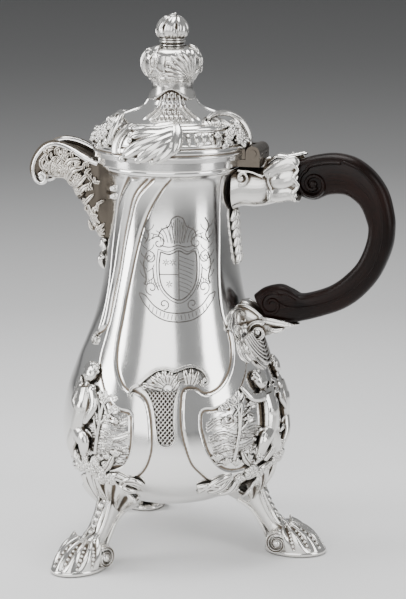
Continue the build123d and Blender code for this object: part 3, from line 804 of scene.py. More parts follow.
def swept(spine, across, upright, half_width, half_height, sides=28, square=2.6):
    """A piece along a spine, with a rounded section of its own half width and half height at each point."""
    angle = np.linspace(0, 2 * np.pi, sides, endpoint=False)
    c, s = np.cos(angle), np.sin(angle)
    c = np.sign(c) * np.abs(c) ** (2 / square)
    s = np.sign(s) * np.abs(s) ** (2 / square)
    rings = [
        p + w * c[:, None] * np.array(across) + h * s[:, None] * u
        for p, u, w, h in zip(spine, upright, half_width, half_height)
    ]
    return tube(rings)


def paired(outer, inner, count):
    """Matching points along the two edges of a piece drawn in the handle's plane, as its spine and halves."""
    outer, inner = smooth_line(outer, count), smooth_line(inner, count)
    spine = np.column_stack([(outer + inner)[:, 0] / 2, np.zeros(count), (outer + inner)[:, 1] / 2])
    reach = np.column_stack([(outer - inner)[:, 0] / 2, np.zeros(count), (outer - inner)[:, 1] / 2])
    half = np.linalg.norm(reach, axis=1)
    return spine, reach / np.maximum(half, 1e-6)[:, None], half


def side_plane(y, hand):
    """Lays flat ornament on an upright plane beside the handle's plane, facing outwards."""

    def lay(points):
        x, z, lift = parts_of(points)
        return np.stack([x, hand * (y + lift), z], axis=-1)

    return lay


# ---- lid ---------------------------------------------------------------------------------------------
KNOP_PROFILE = [
    (11.7, 236.2), (10.6, 237.5), (9.7, 240), (9.4, 243), (10, 246), (12.6, 250), (13.8, 255), (12.6, 259.2),
    (9, 262), (6.8, 262.9),
]
KNOP = Turned(KNOP_PROFILE)
PANELS = (-56.0, 64.0, 184.0)  # middles of the lid's three gadrooned panels
NECK_PANELS = (-76.0, 44.0, 164.0)


LID_GRID = (420, 150)  # points round the lid and up it
KNOP_GRID = (300, 116)
FOOT_TURNS = (0.0, 120.0, 240.0)


def nearest(azimuth, middles):
    """The signed angle from the nearest of several azimuths."""
    away = [(azimuth - middle + 180) % 360 - 180 for middle in middles]
    away = np.stack(away)
    pick = np.argmin(np.abs(away), axis=0)
    return np.take_along_axis(away, pick[None], 0)[0]


def scales(across, up, size):
    """Overlapping scales, as a height from 0 to 1."""
    row = np.floor(up / size)
    u = across / (size * 1.25) + 0.5 * (row % 2)
    u = (u - np.floor(u) - 0.5) * 2
    v = up / size - row
    return np.clip(1 - np.abs(u) ** 2.2 - 0.55 * v, 0, 1) ** 0.6


def band_at(z, low, high, edge=0.3):
    """A soft-edged band between two heights, from 0 to 1."""
    return smoothstep((z - low) / edge) * smoothstep((high - z) / edge)


def skirt_edge(azimuth):
    """The height of the knop skirt's wavy lower edge."""
    return 238.0 + 3.2 * np.cos(np.radians(3 * (azimuth + 78)))


def neck_ornament(azimuth, z, r):
    """Scale panels between ribs, on the lid's neck and up under the knop's skirt."""
    off = nearest(azimuth, NECK_PANELS)
    half = 17 + (z < 233) * (233 - z) * 0.6
    panel = smoothstep((half - np.abs(off)) / 2.5)
    rib = np.exp(-(((np.abs(off) - half - 4.5) / 2.4) ** 2)) + np.exp(-(((np.abs(off) - half - 12.5) / 2.0) ** 2))
    lift = panel * (0.55 * scales(np.radians(off) * r, z * 1.15, 1.9) - 0.3) + 0.75 * rib
    return lift


def lid_relief(azimuth, z, r):
    """The mouldings, sunk panels and neck ornament of the lid."""
    lift = 0.5 * band_at(z, 210.6, 211.5) + 0.7 * band_at(z, 212.6, 215.2, 0.5) + 0.35 * band_at(z, 215.8, 216.5)
    lift -= 0.45 * np.exp(-(((z - 212.1) / 0.25) ** 2)) + 0.4 * np.exp(-(((z - 215.5) / 0.22) ** 2))
    lift += 0.9 * band_at(z, 223.6, 225.6, 0.5) - 0.4 * np.exp(-(((z - 223.3) / 0.25) ** 2))
    lift -= 0.4 * np.exp(-(((z - 226.0) / 0.2) ** 2))
    off = nearest(azimuth, PANELS)
    inner = band_at(z, 217.0, 222.6, 0.6) * smoothstep((17 - np.abs(off)) / 2)
    lift -= 0.55 * inner
    lift += np.where(z > 227.5, smoothstep((z - 227.5) / 1.5) * neck_ornament(azimuth, z, r), 0)
    return lift


def knop_relief(azimuth, z, r):
    """The knop's skirt, flutes and scales."""
    edge = skirt_edge(azimuth)
    skirt = smoothstep((z - edge) / 0.5)
    lift = skirt * 0.9 * smoothstep((264 - z) / 4) + (1 - skirt) * neck_ornament(azimuth, z, r)
    lift += 0.45 * np.exp(-(((z - edge - 0.7) / 0.5) ** 2))
    lift -= 0.35 * np.exp(-(((z - edge + 0.25) / 0.3) ** 2))
    flutes = 0.25 * np.cos(np.radians(azimuth + 78) * 12)
    lift += flutes * band_at(z, 243, 249, 1.5) + 0.5 * scales(
        np.radians(azimuth) * r, z, 1.7
    ) * band_at(z, 245.5, 251, 1.0) * 0.5
    return lift


def skin(turned, name, relief, columns, rows, ease=1.0):
    """A closed ring of skin on a turned form, lifted by a relief of azimuth, height and radius."""
    azimuth = np.linspace(0, 360, columns, endpoint=False)
    s = np.linspace(0, turned.s[-1], rows)
    a, ss = np.meshgrid(azimuth, s, indexing="ij")
    z = np.interp(ss, turned.s, turned.z)
    r = np.interp(ss, turned.s, turned.r)
    lift = relief(a, z, r) * smoothstep((turned.s[-1] - ss) / ease) * smoothstep(ss / ease)
    points = turned.place(a, ss, lift).reshape(-1, 3)
    return plain_object(Casting().add((points, grid_faces(columns, rows, closed_rows=True))), name)


def lid_leaf():
    """The broad acanthus leaf that sweeps from the lid's shoulder down over its edge."""
    leaf = Casting()
    paths = [
        ([(-72, 226.4), (-79, 225.2), (-86, 224.6), (-93, 223.0)], 2.9, 3.0),
        ([(-73, 225.0), (-83, 223.0), (-95, 222.4), (-107, 220.4)], 3.7, 3.6),
        ([(-73, 222.8), (-86, 219.4), (-99, 216.0), (-111, 211.4)], 3.8, 4.2),
        ([(-74, 220.6), (-83, 217.0), (-91, 213.6), (-99, 209.9)], 3.7, 4.3),
        ([(-73, 218.8), (-78, 215.2), (-83, 212.0), (-87, 209.6)], 3.4, 4.0),
        ([(-72, 226.6), (-71.2, 222.6), (-72.6, 217.8), (-77, 212.6)], 3.4, 3.4),
    ]
    for path, width, height in paths:
        flat = np.array([(math.radians(a + 90) * 38.0, LID.at_z(z)) for a, z in path])
        rise = np.array([0.6, 1.6, 2.0, 1.5, 0.9, 0.6])[: len(flat)] * 0.6
        curve = np.column_stack([flat, rise])
        leaf.add(lobe(curve, width, height * 0.62, crease=0.30, tip=0.42, base=0.35, count=34, sink=1.4), leaf_lay)
    for a, z, size in (
        (-108, 221.2, 1.5), (-106.5, 218.4, 1.5), (-112, 210.0, 1.9), (-99, 210.0, 1.8), (-88.5, 209.6, 1.7)
    ):
        at = (math.radians(a + 90) * 38.0, LID.at_z(z), 1.2)
        leaf.add(pearl(at, size, (1.0, 1.0, 0.75)), leaf_lay)
    return leaf


def leaf_lay(points):
    """Lays ornament drawn in millimetres round the lid's edge from azimuth -90."""
    across, up, lift = parts_of(points)
    return LID.place(-90 + np.degrees(across / 38.0), up, lift)


def lid_scroll(hand=1):
    """A concentric shell scroll with an arched band over it and a flower cluster beside it."""
    scroll = Casting()
    lay = LID.warp(0, LID.at_z(222.8))
    for radius in (1.6, 3.2, 4.9, 6.6):
        arc = [
            (hand * (-5 + radius * math.cos(a)), 4 + radius * math.sin(a))
            for a in np.linspace(-0.5, math.pi * 1.02, 15)
        ]
        scroll.add(ribbon(arc, 1.15, 1.5 + (6.6 - radius) * 0.12, hollow=0.2, count=30), lay)
    scroll.add(pearl((-5 * hand, 4, 1.6), 1.4), lay)
    hood = [
        (-7.5, 8.6, 1.0), (-1.5, 10.0, 2.6), (5.5, 7.8, 3.6), (10.5, 2.4, 3.4), (12.2, -4.5, 2.4), (12.4, -8.0, 1.2)
    ]
    hood = np.array(hood) * (hand, 1, 1)
    scroll.add(ribbon(hood, 3.0, 1.5, hollow=0.3, count=50, taper=(0.6, 0.9), edge=0.3, sink=1.0), lay)
    for x, y, size in (
        (-4.5, -3.2, 2.6), (0.4, -1.6, 2.9), (5.0, -4.2, 2.7), (1.2, -6.0, 2.3), (-7.4, -6.0, 1.8), (6.2, 0.4, 2.2)
    ):
        scroll.add(flower((hand * x, y, 1.3), size, 5, 1.5, turn=x * 20), lay)
    for x0, y0, x1, y1 in ((-6, -6, -11, -9), (3, -7, 6, -10.5), (-9, -2, -13, -3.5), (7, -6, 11, -9.5)):
        scroll.add(
            lobe(
                [(hand * x0, y0, 0.8), (hand * (x0 + x1) / 2, (y0 + y1) / 2, 1.8), (hand * x1, y1, 0.8)], 1.5, 1.5,
                tip=0.2
            ),
            lay
        )
    return scroll


class POT_OT_lid(bpy.types.Operator):
    """Raises the lid's skin and lining and casts its leaves, shell scrolls and gadroons"""

    bl_idname = "pot.lid"
    bl_label = "Lid"

    def execute(self, context):
        outer = skin(LID, "lid_skin", lid_relief, *LID_GRID, ease=0.7)
        finish_piece(outer, "polished", "lid", "lid_dome")
        under = [(r - 1.1, z - 0.4) for r, z in LID_PROFILE[3:-1]]
        under = [(40, 208.4), (39.0, 208.4), (39.0, 213)] + under + [(10.6, 236.2), (0.1, 236.2)]
        lining = spun("lid_lining", under, 128)
        finish_piece(lining, "plain", "lid", "lid_dome")
        gadroons = Casting()
        for middle in PANELS:
            for k in range(-2, 3):
                lay = LID.warp(middle + k * 6.1, LID.at_z(219.8))
                gadroons.add(pearl((0, 1.0, -0.1), 1.0, (1.35, 2.9, 1.0)), lay)
                gadroons.add(pearl((0, -2.6, 0.0), 0.8, (1.0, 1.0, 0.8)), lay)
            frame = [(-10.4, -3.6), (-10.6, 3.4), (0, 4.4), (10.6, 3.4), (10.4, -3.6)]
            gadroons.add(ribbon(frame, 1.0, 0.8, count=70), LID.warp(middle, LID.at_z(219.8)))
            gadroons.add(
                ribbon([(-10.4, -3.6), (0, -3.9), (10.4, -3.6)], 0.9, 0.8), LID.warp(middle, LID.at_z(219.8))
            )
        finish_piece(gadroons.make("lid_gadroons"), "cast", "lid", "lid_dome")
        straps = Casting()
        for middle in (-118.0, 2.0, 122.0):
            lay = LID.warp(middle, LID.at_z(220.0))
            straps.add(
                ribbon(
                    [(2.6, 8.6), (0.6, 4.0), (-0.8, -2.0), (-0.6, -8.2)], 4.6, 1.5, hollow=0.0, edge=0.4,
                    taper=(0.8, 1.0)
                ),
                lay
            )
            straps.add(ribbon([(5.4, 7.4), (3.9, 3.0), (2.7, -2.0), (2.8, -8.0)], 1.1, 1.0), lay)
            straps.add(ribbon([(2.6, 8.4), (8.0, 8.8), (15.0, 8.2), (20, 6.0)], 2.0, 1.0, edge=0.4), lay)
        finish_piece(straps.make("lid_straps"), "cast", "lid", "lid_dome")
        leaf = lid_leaf()
        near = leaf.turned(0).make("lid_leaf_near", fuse=LEAF_GRAIN, soften=1)
        finish_piece(near, "cast", "lid", "lid_spray_near")
        far = leaf.turned(235).make("lid_leaf_far", fuse=LEAF_GRAIN, soften=1)
        finish_piece(far, "cast", "lid", "lid_spray_far")
        for side, azimuth, hand in (("hinge_side", -21.5, 1), ("spout_side", -141.5, 1), ("far_side", 98.5, 1)):
            piece = lid_scroll(hand).turned(azimuth).make("lid_shell_" + side)
            finish_piece(piece, "cast", "lid", "lid_scroll_" + side)
        return {"FINISHED"}


class POT_OT_finial(bpy.types.Operator):
    """Casts the knop with its shells and bosses, the ringed collar and the leafy bud"""

    bl_idname = "pot.finial"
    bl_label = "Finial"

    def execute(self, context):
        knop = skin(KNOP, "knop_skin", knop_relief, *KNOP_GRID, ease=0.5)
        finish_piece(knop, "cast", "lid", "finial_knop")
        shells = Casting()
        for middle in (-58.0, 62.0, 182.0):
            lay = KNOP.warp(middle, KNOP.at_z(254.6))
            shells.add(scallop((4.6, -7.2), 112, 58, 14.0, 2.3, 9, depth=0.42, curl=18, lift=0.2), lay)
            shells.add(ribbon([(-7.6, 3.4), (-8.2, -1.6), (-5.0, -6.6), (3.6, -8.6)], 1.1, 1.5, count=40), lay)
            for k in range(16):
                a, b = (k % 4) * 1.25 - 6.4, (k // 4) * 1.7 - 4.2
                shells.add(pearl((a - b * 0.15, b, 1.4), 0.55), lay)
        for middle in (-116.0, 4.0, 124.0):
            lay = KNOP.warp(middle, KNOP.at_z(255.8))
            ring = [(2.3 * math.cos(a), 3.6 * math.sin(a)) for a in np.linspace(0, 2 * math.pi, 25)]
            shells.add(ribbon(ring, 1.2, 1.4, count=50), lay)
            shells.add(pearl((0, 0, 1.0), 1.3, (0.8, 1.5, 0.8)), lay)
            for x, y, turn in ((-3.0, -5.0, 200), (3.0, -5.0, -20), (0, 6.2, 90), (-4.0, 2.0, 160)):
                tip = (x + 3.0 * math.cos(math.radians(turn)), y + 3.0 * math.sin(math.radians(turn)), 0.8)
                shells.add(lobe([(x * 0.4, y * 0.6, 0.9), (x, y, 1.2), tip], 1.2, 1.1, tip=0.2), lay)
        finish_piece(shells.make("knop_shells"), "cast", "lid", "finial_knop")
        rings = [
            (5.2, 262.6), (6.1, 262.8), (6.5, 263.2), (6.1, 263.7), (5.4, 263.9), (5.4, 264.3), (6.4, 264.5),
            (6.8, 265.1)
        ]
        rings += [(6.4, 265.6), (5.8, 265.8), (6.2, 266.0), (6.5, 266.4), (6.1, 266.8), (5.0, 266.9)]
        collar = spun("collar_rings", rings, 96)
        finish_piece(collar, "cast", "lid", "finial_collar")
        bud = Casting()
        core = [(0.3, 266.8), (5.4, 267.2), (6.9, 269.6), (6.9, 272), (5.4, 275), (3.2, 277.2), (0.3, 278.2)]
        form = Turned(core)
        bud.add(
            tube(
                form.place(
                    np.linspace(0, 360, 40, endpoint=False)[None, :], np.linspace(0, form.s[-1], 30)[:, None], 0.0
                )
            )
        )
        for k in range(7):
            lay = form.warp(k * 360 / 7 + 12, 0.0)
            lean = 1.6
            path = [
                (0, 5.2, -0.2), (0.4, 8.6, 0.5), (lean * 0.6, 12.0, 0.6), (lean, 15.4, 0.3), (lean * 1.2, 17.6, 0.0)
            ]
            bud.add(lobe(path, 2.7, 1.0, crease=0.5, tip=0.35, base=0.5, count=30), lay)
            bud.add(
                lobe([(3.0, 5.0, -0.2), (3.2, 7.6, 0.7), (3.3, 10.2, 0.5)], 1.1, 1.1, crease=0.3, tip=0.4, base=0.6),
                lay
            )
        tip = cord_of(
            [(-1.4, 0.2, 274.4), (-0.2, 0.2, 276.8), (1.2, 0.0, 278.6), (0.9, -0.1, 279.1)], (3.0, 2.6, 1.7, 0.7)
        )
        bud.add(tip)
        piece = bud.make("bud", fuse=BUD_GRAIN, soften=1)
        finish_piece(piece, "cast", "lid", "finial_bud")
        return {"FINISHED"}


# ---- spout -------------------------------------------------------------------------------------------
SPOUT_TOP = [
    (-29.6, 201.6), (-38, 205.6), (-43, 208.4), (-49.4, 211.6), (-55, 213.5), (-60.3, 214.1), (-65.5, 212.6),
    (-69.8, 208.9), (-73.0, 204), (-74.4, 198.6), (-73.6, 194.4),
]
SPOUT_LOW = [
    (-30.4, 156), (-38.5, 164), (-42.6, 174.5), (-47.5, 182), (-51.6, 189), (-56, 192.6), (-60.5, 194.2),
    (-64, 194.6), (-67, 194.4), (-69.6, 194.0), (-71.6, 193.6),
]
SPOUT_WIDTH = [(-75, 6.4), (-70, 7.0), (-65, 8.0), (-58, 9.4), (-50, 11.0), (-43, 12.0), (-36, 11.6), (-31, 9.0)]


TOP_LINE, LOW_LINE = np.array(SPOUT_TOP)[::-1], np.array(SPOUT_LOW)[::-1]


def spout_half(x):
    """Half the spout's width at a place along it."""
    table = np.array(SPOUT_WIDTH)
    return np.interp(x, table[:, 0], table[:, 1])


def spout_side(hand):
    """Lays ornament drawn in the spout's side view on its rounded flank."""

    def lay(points):
        x, z, lift = parts_of(points)
        high = np.interp(x, TOP_LINE[:, 0], TOP_LINE[:, 1])
        bottom = np.interp(x, LOW_LINE[:, 0], LOW_LINE[:, 1])
        depth = np.clip((high - z) / np.maximum(high - bottom, 1), 0, 1) ** 1.5
        side = np.sqrt(1 - depth**2)
        y = hand * (spout_half(x) * side + lift * (0.35 + 0.65 * side))
        return np.stack([x, y, z - lift * depth * 0.6], axis=-1)

    return lay


def spout_body():
    """The beak as a channel with rounded flanks."""
    count, q = 60, 25
    top, low = smooth_line(SPOUT_TOP, count), smooth_line(SPOUT_LOW, count)
    phi = np.linspace(0, math.pi, q)
    rings = []
    for k in range(count):
        half = spout_half((top[k, 0] * 2 + low[k, 0]) / 3)
        outer, inner = np.sin(phi) ** 0.66, np.sin(phi) ** 0.8 * 0.84
        shell = np.column_stack(
            [
                top[k, 0] + (low[k, 0] - top[k, 0]) * outer, -half * np.cos(phi),
                top[k, 1] + (low[k, 1] - top[k, 1]) * outer
            ]
        )
        hollow = np.column_stack(
            [
                top[k, 0] + (low[k, 0] - top[k, 0]) * inner, -(half - 1.6) * np.cos(phi),
                top[k, 1] + (low[k, 1] - top[k, 1]) * inner
            ]
        )
        rings.append(np.vstack([shell, hollow[::-1]]))
    points = np.vstack(rings)
    m = 2 * q
    faces = grid_faces(count, m, closed_columns=True)
    for j in range(q - 1):
        faces.append([j + 1, j, m - 1 - j, m - 2 - j])
        base = (count - 1) * m
        faces.append([base + j, base + j + 1, base + m - 2 - j, base + m - 1 - j])
    return points, faces


class POT_OT_spout(bpy.types.Operator):
    """Casts the beak spout with its scrolled bands and leaves, and the festoon under it"""

    bl_idname = "pot.spout"
    bl_label = "Spout and festoon"

    def execute(self, context):
        beak = Casting().add(spout_body()).make("spout_beak")
        # The beak's deep finish is painted shade with patina over its whole flank and channel.
        finish_piece(beak, "deep", "pot", "spout", angle=50)
        bands, leaves = Casting(), Casting()
        edge = [
            (-36, 203.2), (-40, 204.6), (-43.8, 206.4), (-49.8, 209.6), (-55.0, 211.5), (-60, 212.1), (-64.5, 210.8),
            (-68.3, 207.6), (-71.1, 203.2), (-72.4, 198.3), (-71.5, 193.6), (-68.6, 191.4), (-65.9, 192.6),
            (-65.4, 195.4),
            (-67.4, 196.9), (-69.2, 195.6),
        ]
        for hand in (-1, 1):
            def lay(points, hand=hand):
                x, z, lift = parts_of(points)
                half = np.maximum(spout_half(x), 6.6)
                return np.stack([x, hand * (half - 0.6 + lift), z], axis=-1)

            bands.add(ribbon(edge, 4.0, 1.7, hollow=-0.25, count=110, taper=(0.95, 0.5), edge=0.5, sink=1.0), lay)
            bands.add(pearl((-67.6, 194.3, 1.2), 1.5), lay)
            side = spout_side(hand)
            for x, z, size, turn in (
                (-54.5, 200.5, 2.9, 10), (-46.5, 196.5, 2.5, 40), (-60.5, 199.0, 2.2, 70), (-50.0, 187.5, 2.2, 0),
                (-43.6, 184.0, 2.0, 30), (-40.5, 176.5, 2.2, 50),
            ):
                leaves.add(flower((x, z, 0.8), size, 5, 1.6, turn), side)
            for path, width in (
                ([(-63, 196.5), (-62, 202), (-57, 206.5)], 1.7), ([(-60, 196), (-57.5, 203), (-51, 207.5)], 1.8),
                ([(-57, 194.5), (-52, 203.5), (-45, 205.5)], 1.9),
                ([(-55, 193.5), (-49.5, 199.5), (-42.5, 201.5)], 1.9),
                ([(-53, 191.5), (-47, 193), (-41, 198.2)], 1.8), ([(-50, 186.5), (-45, 190), (-39.5, 193.5)], 1.7),
                ([(-52.5, 189.6), (-48.5, 186), (-43, 188.5)], 1.4),
                ([(-47, 183), (-42.5, 184.5), (-38.0, 188)], 1.5),
                ([(-45.5, 181), (-43.6, 177), (-40.5, 170.5)], 1.6),
                ([(-42.6, 182), (-39.8, 176), (-37.5, 168)], 1.5),
                ([(-66, 197.5), (-67.5, 202.5), (-64, 207.5)], 1.4),
                ([(-64, 195.6), (-59, 196.2), (-54, 196.4)], 1.2),
            ):
                leaves.add(
                    lobe(np.column_stack([path, (0.3, 1.3, 0.5)]), width, 1.5, crease=0.5, tip=0.25, count=20), side
                )
            scatter = np.random.default_rng(5)
            for k in range(76):
                x = scatter.uniform(-65, -33)
                high, bottom = np.interp(
                    x, TOP_LINE[:, 0], TOP_LINE[:, 1]
                ) - 5, np.interp(x, LOW_LINE[:, 0], LOW_LINE[:, 1]) + 1
                z = bottom + (high - bottom) * scatter.uniform(0.0, 1.0)
                turn, length = math.radians(scatter.uniform(20, 150)), scatter.uniform(3.2, 6.0)
                step = np.array([math.cos(turn), math.sin(turn)]) * length
                bend = np.array([-step[1], step[0]]) * 0.25
                path = np.array([(x, z), (x, z) + step * 0.5 + bend, (x, z) + step])
                leaves.add(
                    lobe(
                        np.column_stack([path, (0.1, scatter.uniform(0.9, 2.0), 0.3)]), scatter.uniform(1.0, 1.6),
                        1.5, crease=0.5, tip=0.25, count=12
                    ),
                    side
                )
            for k in range(12):
                x, z = -64 + 2.1 * k, 194.4 - 0.072 * (k - 2) ** 2
                leaves.add(pearl((x, z + 1.6, 0.7), 0.85), side)
        for z in (191.6, 187.6):
            for hand in (-1, 1):
                lay = on_body(180 - hand * 24, z)
                bands.add(
                    ribbon(
                        [(-8 * hand, 0.6), (-3 * hand, -0.2), (3 * hand, -0.3), (6 * hand, 0.4)], 3.2, 2.4, edge=0.5,
                        taper=(1.0, 0.8)
                    ),
                    lay
                )
        finish_piece(bands.make("spout_bands"), "polished", "pot", "spout")
        # The flank's leaves take the shaded finish: painted shade with patina.
        finish_piece(leaves.make("spout_leaves"), "shaded", "pot", "spout")
        festoon = Casting()
        lay = on_body(180, 164)
        festoon.add(
            ribbon(
                [(0.5, 20, 1.0), (-0.8, 8, 2.6), (0.8, -4, 2.4), (0, -12, 1.2)], 5.0, 2.0, edge=0.5, taper=(1.0, 0.5)
            ),
            lay
        )
        for x, y, lift, size in (
            (1.5, 13, 4.0, 3.6), (-2.5, 8, 3.6, 3.0), (2.2, 5.0, 3.4, 3.0), (-1.8, 0.5, 3.4, 3.2),
            (2.0, -3.6, 2.8, 2.6)
        ):
            festoon.add(flower((x, y, lift), size, 5, 1.9, turn=x * 25 + y * 10), lay)
        for hand in (-1, 1):
            for y, bend in ((16, 1), (11, -1), (6, 1), (1, -1), (-4, 1), (-8, -1)):
                path = [(hand * 0.8, y, 1.6), (hand * 3.8, y + 1.8 * bend, 3.0), (hand * 6.4, y - 2.2, 1.6)]
                festoon.add(lobe(path, 1.7, 1.7, crease=0.5, tip=0.25), lay)
        festoon.add(lobe([(0, -8, 1.5), (1.6, -12.5, 3.2), (0.4, -17.5, 1.2)], 2.4, 2.4, crease=0.5, tip=0.2), lay)
        festoon.add(lobe([(0.5, -8, 1.5), (-2.2, -12, 2.6), (-1.2, -15.5, 1.0)], 1.8, 2.0, crease=0.5, tip=0.2), lay)
        finish_piece(festoon.make("spout_festoon_leaves"), "cast", "pot", "spout_festoon")
        return {"FINISHED"}


# ---- handle ------------------------------------------------------------------------------------------
WOOD_OUT = [
    (63.5, 206.4), (67, 208.0), (73.6, 210.2), (83.7, 211.6), (93.6, 209.9), (101.4, 205.3), (107.4, 199),
    (111.5, 191.7),
    (114.1, 181.8), (114.7, 175.3), (114.0, 166.7), (111.2, 157.9), (106.5, 148.5), (98.7, 139.4), (90.1, 133.2),
    (79.9, 129), (69.7, 125.8), (61.9, 124.3), (52, 125.2),
]
WOOD_IN = [
    (63.5, 192), (68, 189.0), (74.5, 187.8), (81.5, 190.6), (89.1, 191.0), (94.2, 188.4), (97.8, 184.6),
    (100.4, 178.6), (101.5, 173.6),
    (100.2, 166), (96.3, 157.1), (89.8, 149.7), (82.3, 144.1), (73.1, 140.5), (66.2, 139.4), (61.7, 142),
    (56.5, 143.7),
    (48.7, 141.8), (43.6, 138.0),
]


def grain_along(obj, rings, sides, length):
    """Lays the grain's UV map along a swept piece."""
    layer = obj.data.uv_layers.new(name="grain")
    for loop in obj.data.loops:
        k, j = divmod(loop.vertex_index, sides)
        layer.data[loop.index].uv = (min(k / rings, 1.0) * length, abs(j / sides - 0.5) * 2)


class POT_OT_handle(bpy.types.Operator):
    """Carves the wooden handle and casts its sockets, its strap of husks and its shell"""

    bl_idname = "pot.handle"
    bl_label = "Handle and sockets"

    def execute(self, context):
        spine, upright, half = paired(WOOD_OUT, WOOD_IN, 150)
        t = np.linspace(0, 1, 150)
        width = 6.5 - 0.9 * smoothstep((t - 0.62) / 0.38)
        wood = Casting().add(swept(spine, (0, 1, 0), upright, width, half, 32, 3.0)).make("handle_wood")
        grain_along(wood, 150, 32, 1.0)
        finish_piece(wood, "wood", "pot", "wood_handle", hollows=False)
        curls = Casting()
        for hand in (-1, 1):
            lay = side_plane(6.2, hand)
            curl = [(88, 207.6), (80, 207.2), (72.5, 205.4)]
            curl += [tuple(p) for p in spiral((74.3, 196.4), 7.6, 2.0, 118, 560, 50)]
            curls.add(ribbon(curl, 3.3, 1.7, count=150, taper=(0.5, 0.8), edge=0.7, sink=0.6), lay)
            curls.add(pearl((74.3, 196.4, 0.4), 2.1, (1, 1, 0.8)), lay)
            foot_curl = [(66, 137.0), (61, 139.4)] + [tuple(p) for p in spiral((53.6, 134.0), 6.4, 1.8, 50, 480, 50)]
            curls.add(
                ribbon(foot_curl, 2.8, 1.4, count=150, taper=(0.4, 0.8), edge=0.7, sink=0.6), side_plane(5.3, hand)
            )
            ridge = [
                (89, 208.2), (97.5, 204.4), (104.6, 196.6), (108.6, 186), (109.7, 175.5), (108.4, 165), (104, 154),
                (96, 145.2), (86, 138.4), (74, 134.4), (63, 133.2), (56, 136)
            ]
            curls.add(ribbon(ridge, 1.5, 0.55, count=120, edge=0.6, taper=(0.8, 0.5), sink=0.8), lay)
        curl = curls.make("handle_curls")
        grain_along(curl, 150, 15, 1.0)
        finish_piece(curl, "wood", "pot", "wood_handle", hollows=False)
        self.upper_socket()
        self.lower_socket()
        return {"FINISHED"}

    def upper_socket(self):
        top = [
            (32.5, 202.5), (37, 203.4), (42, 203.0), (47.5, 202.8), (52, 204.6), (57, 206.6), (62, 208.9),
            (65.6, 209.2)
        ]
        low = [
            (32.5, 181), (37, 183.2), (43.2, 183.2), (49, 184.0), (55, 185.8), (60, 187.4), (63.7, 187.4),
            (66.2, 186.0)
        ]
        spine, upright, half = paired(top, low, 50)
        t = np.linspace(0, 1, 50)
        width = np.interp(t, (0, 0.2, 0.5, 0.8, 1.0), (9.4, 8.4, 7.2, 8.2, 8.5))
        socket = Casting().add(swept(spine, (0, 1, 0), upright, width, half, 36, 2.4))
        for hand in (-1, 1):
            lay = side_plane(6.6, hand)
            for path, wide in (
                ([(50, 199.5, 0.0), (56, 203.4, 1.0), (62, 206.2, 1.2), (67.4, 208.0, 0.6)], 4.2),
                ([(53, 196.0, 0.0), (58, 197.6, 1.7), (63, 199.6, 1.5), (66.8, 201.0, 0.4)], 4.4),
                ([(51, 190.5, 0.0), (56.5, 190.4, 1.1), (61.5, 191.4, 1.3), (66.2, 189.6, 0.5)], 4.0),
            ):
                socket.add(lobe(path, wide, 1.5, crease=0.10, tip=0.55, base=0.25, count=34), lay)
            rim = [
                (60.5, 210.0, 0.6), (63.8, 206.8, 1.4), (66.6, 203.4, 1.0), (64.6, 199.6, 1.8), (67.0, 195.6, 1.0),
                (64.4, 191.6, 1.6), (65.8, 187.4, 0.8)
            ]
            socket.add(ribbon(rim, 2.0, 1.3, hollow=0.2, count=60, edge=0.5, sink=1.4), lay)
            arch = [
                (48.6, 185.0, 0.4), (52.5, 187.6, 0.9), (53.4, 192.4, 1.1), (51.6, 197.4, 1.1), (53.4, 202.4, 0.9),
                (57.6, 206.4, 0.6)
            ]
            socket.add(ribbon(arch, 1.5, 1.1, hollow=0.2, count=50, taper=(0.7, 0.9), edge=0.5), lay)
            socket.add(volute((38.2, 198.6), 3.4, 1.5, 1.2, 250, 430), side_plane(7.9, hand))
            socket.add(ribbon([(36, 202.2), (43, 201.6), (49, 199.4)], 1.4, 1.0), side_plane(7.8, hand))
        socket.add(
            lobe([(50, 0, 0), (55, 0.2, 2.6), (60, 0, 1.6), (70, 0, 2.0)], 4.2, 2.0, crease=0.4),
            lambda p: np.stack([p[..., 0], p[..., 1], 205.2 + (p[..., 0] - 50) * 0.2 + p[..., 2]], -1)
        )
        socket.add(cord_of([(47.5, 0, 203.4), (49.2, 0, 206.2), (51.4, 0, 208.2)], (3.0, 2.2, 0.8)))
        obj = socket.make("upper_socket_leaves", fuse=SOCKET_GRAIN[0], soften=1)
        finish_piece(obj, "cast", "pot", "upper_socket")
        strap = Casting()
        for k, z in enumerate((179, 174.6, 170.2, 165.8, 161.6, 157.6)):
            lay = on_body(0, z)
            size = 0.86 - 0.08 * k
            for hand in (-1, 1):
                strap.add(
                    lobe(
                        [(0, 3.4, 0.2), (hand * 2.6 * size, 1.0, 1.6), (hand * 5.6 * size, -3.4, 0.9)], 1.9 * size,
                        1.6, crease=0.45
                    ),
                    lay
                )
                strap.add(
                    lobe(
                        [(0, 3.4, 0.2), (hand * 1.2, -0.6, 2.0), (hand * 2.2, -4.4, 0.9)], 1.5 * size, 1.8,
                        crease=0.45
                    ),
                    lay
                )
            strap.add(pearl((0, 1.2, 2.2), 1.3 * size), lay)
        finish_piece(strap.make("strap_of_husks"), "cast", "pot", "handle_strap")

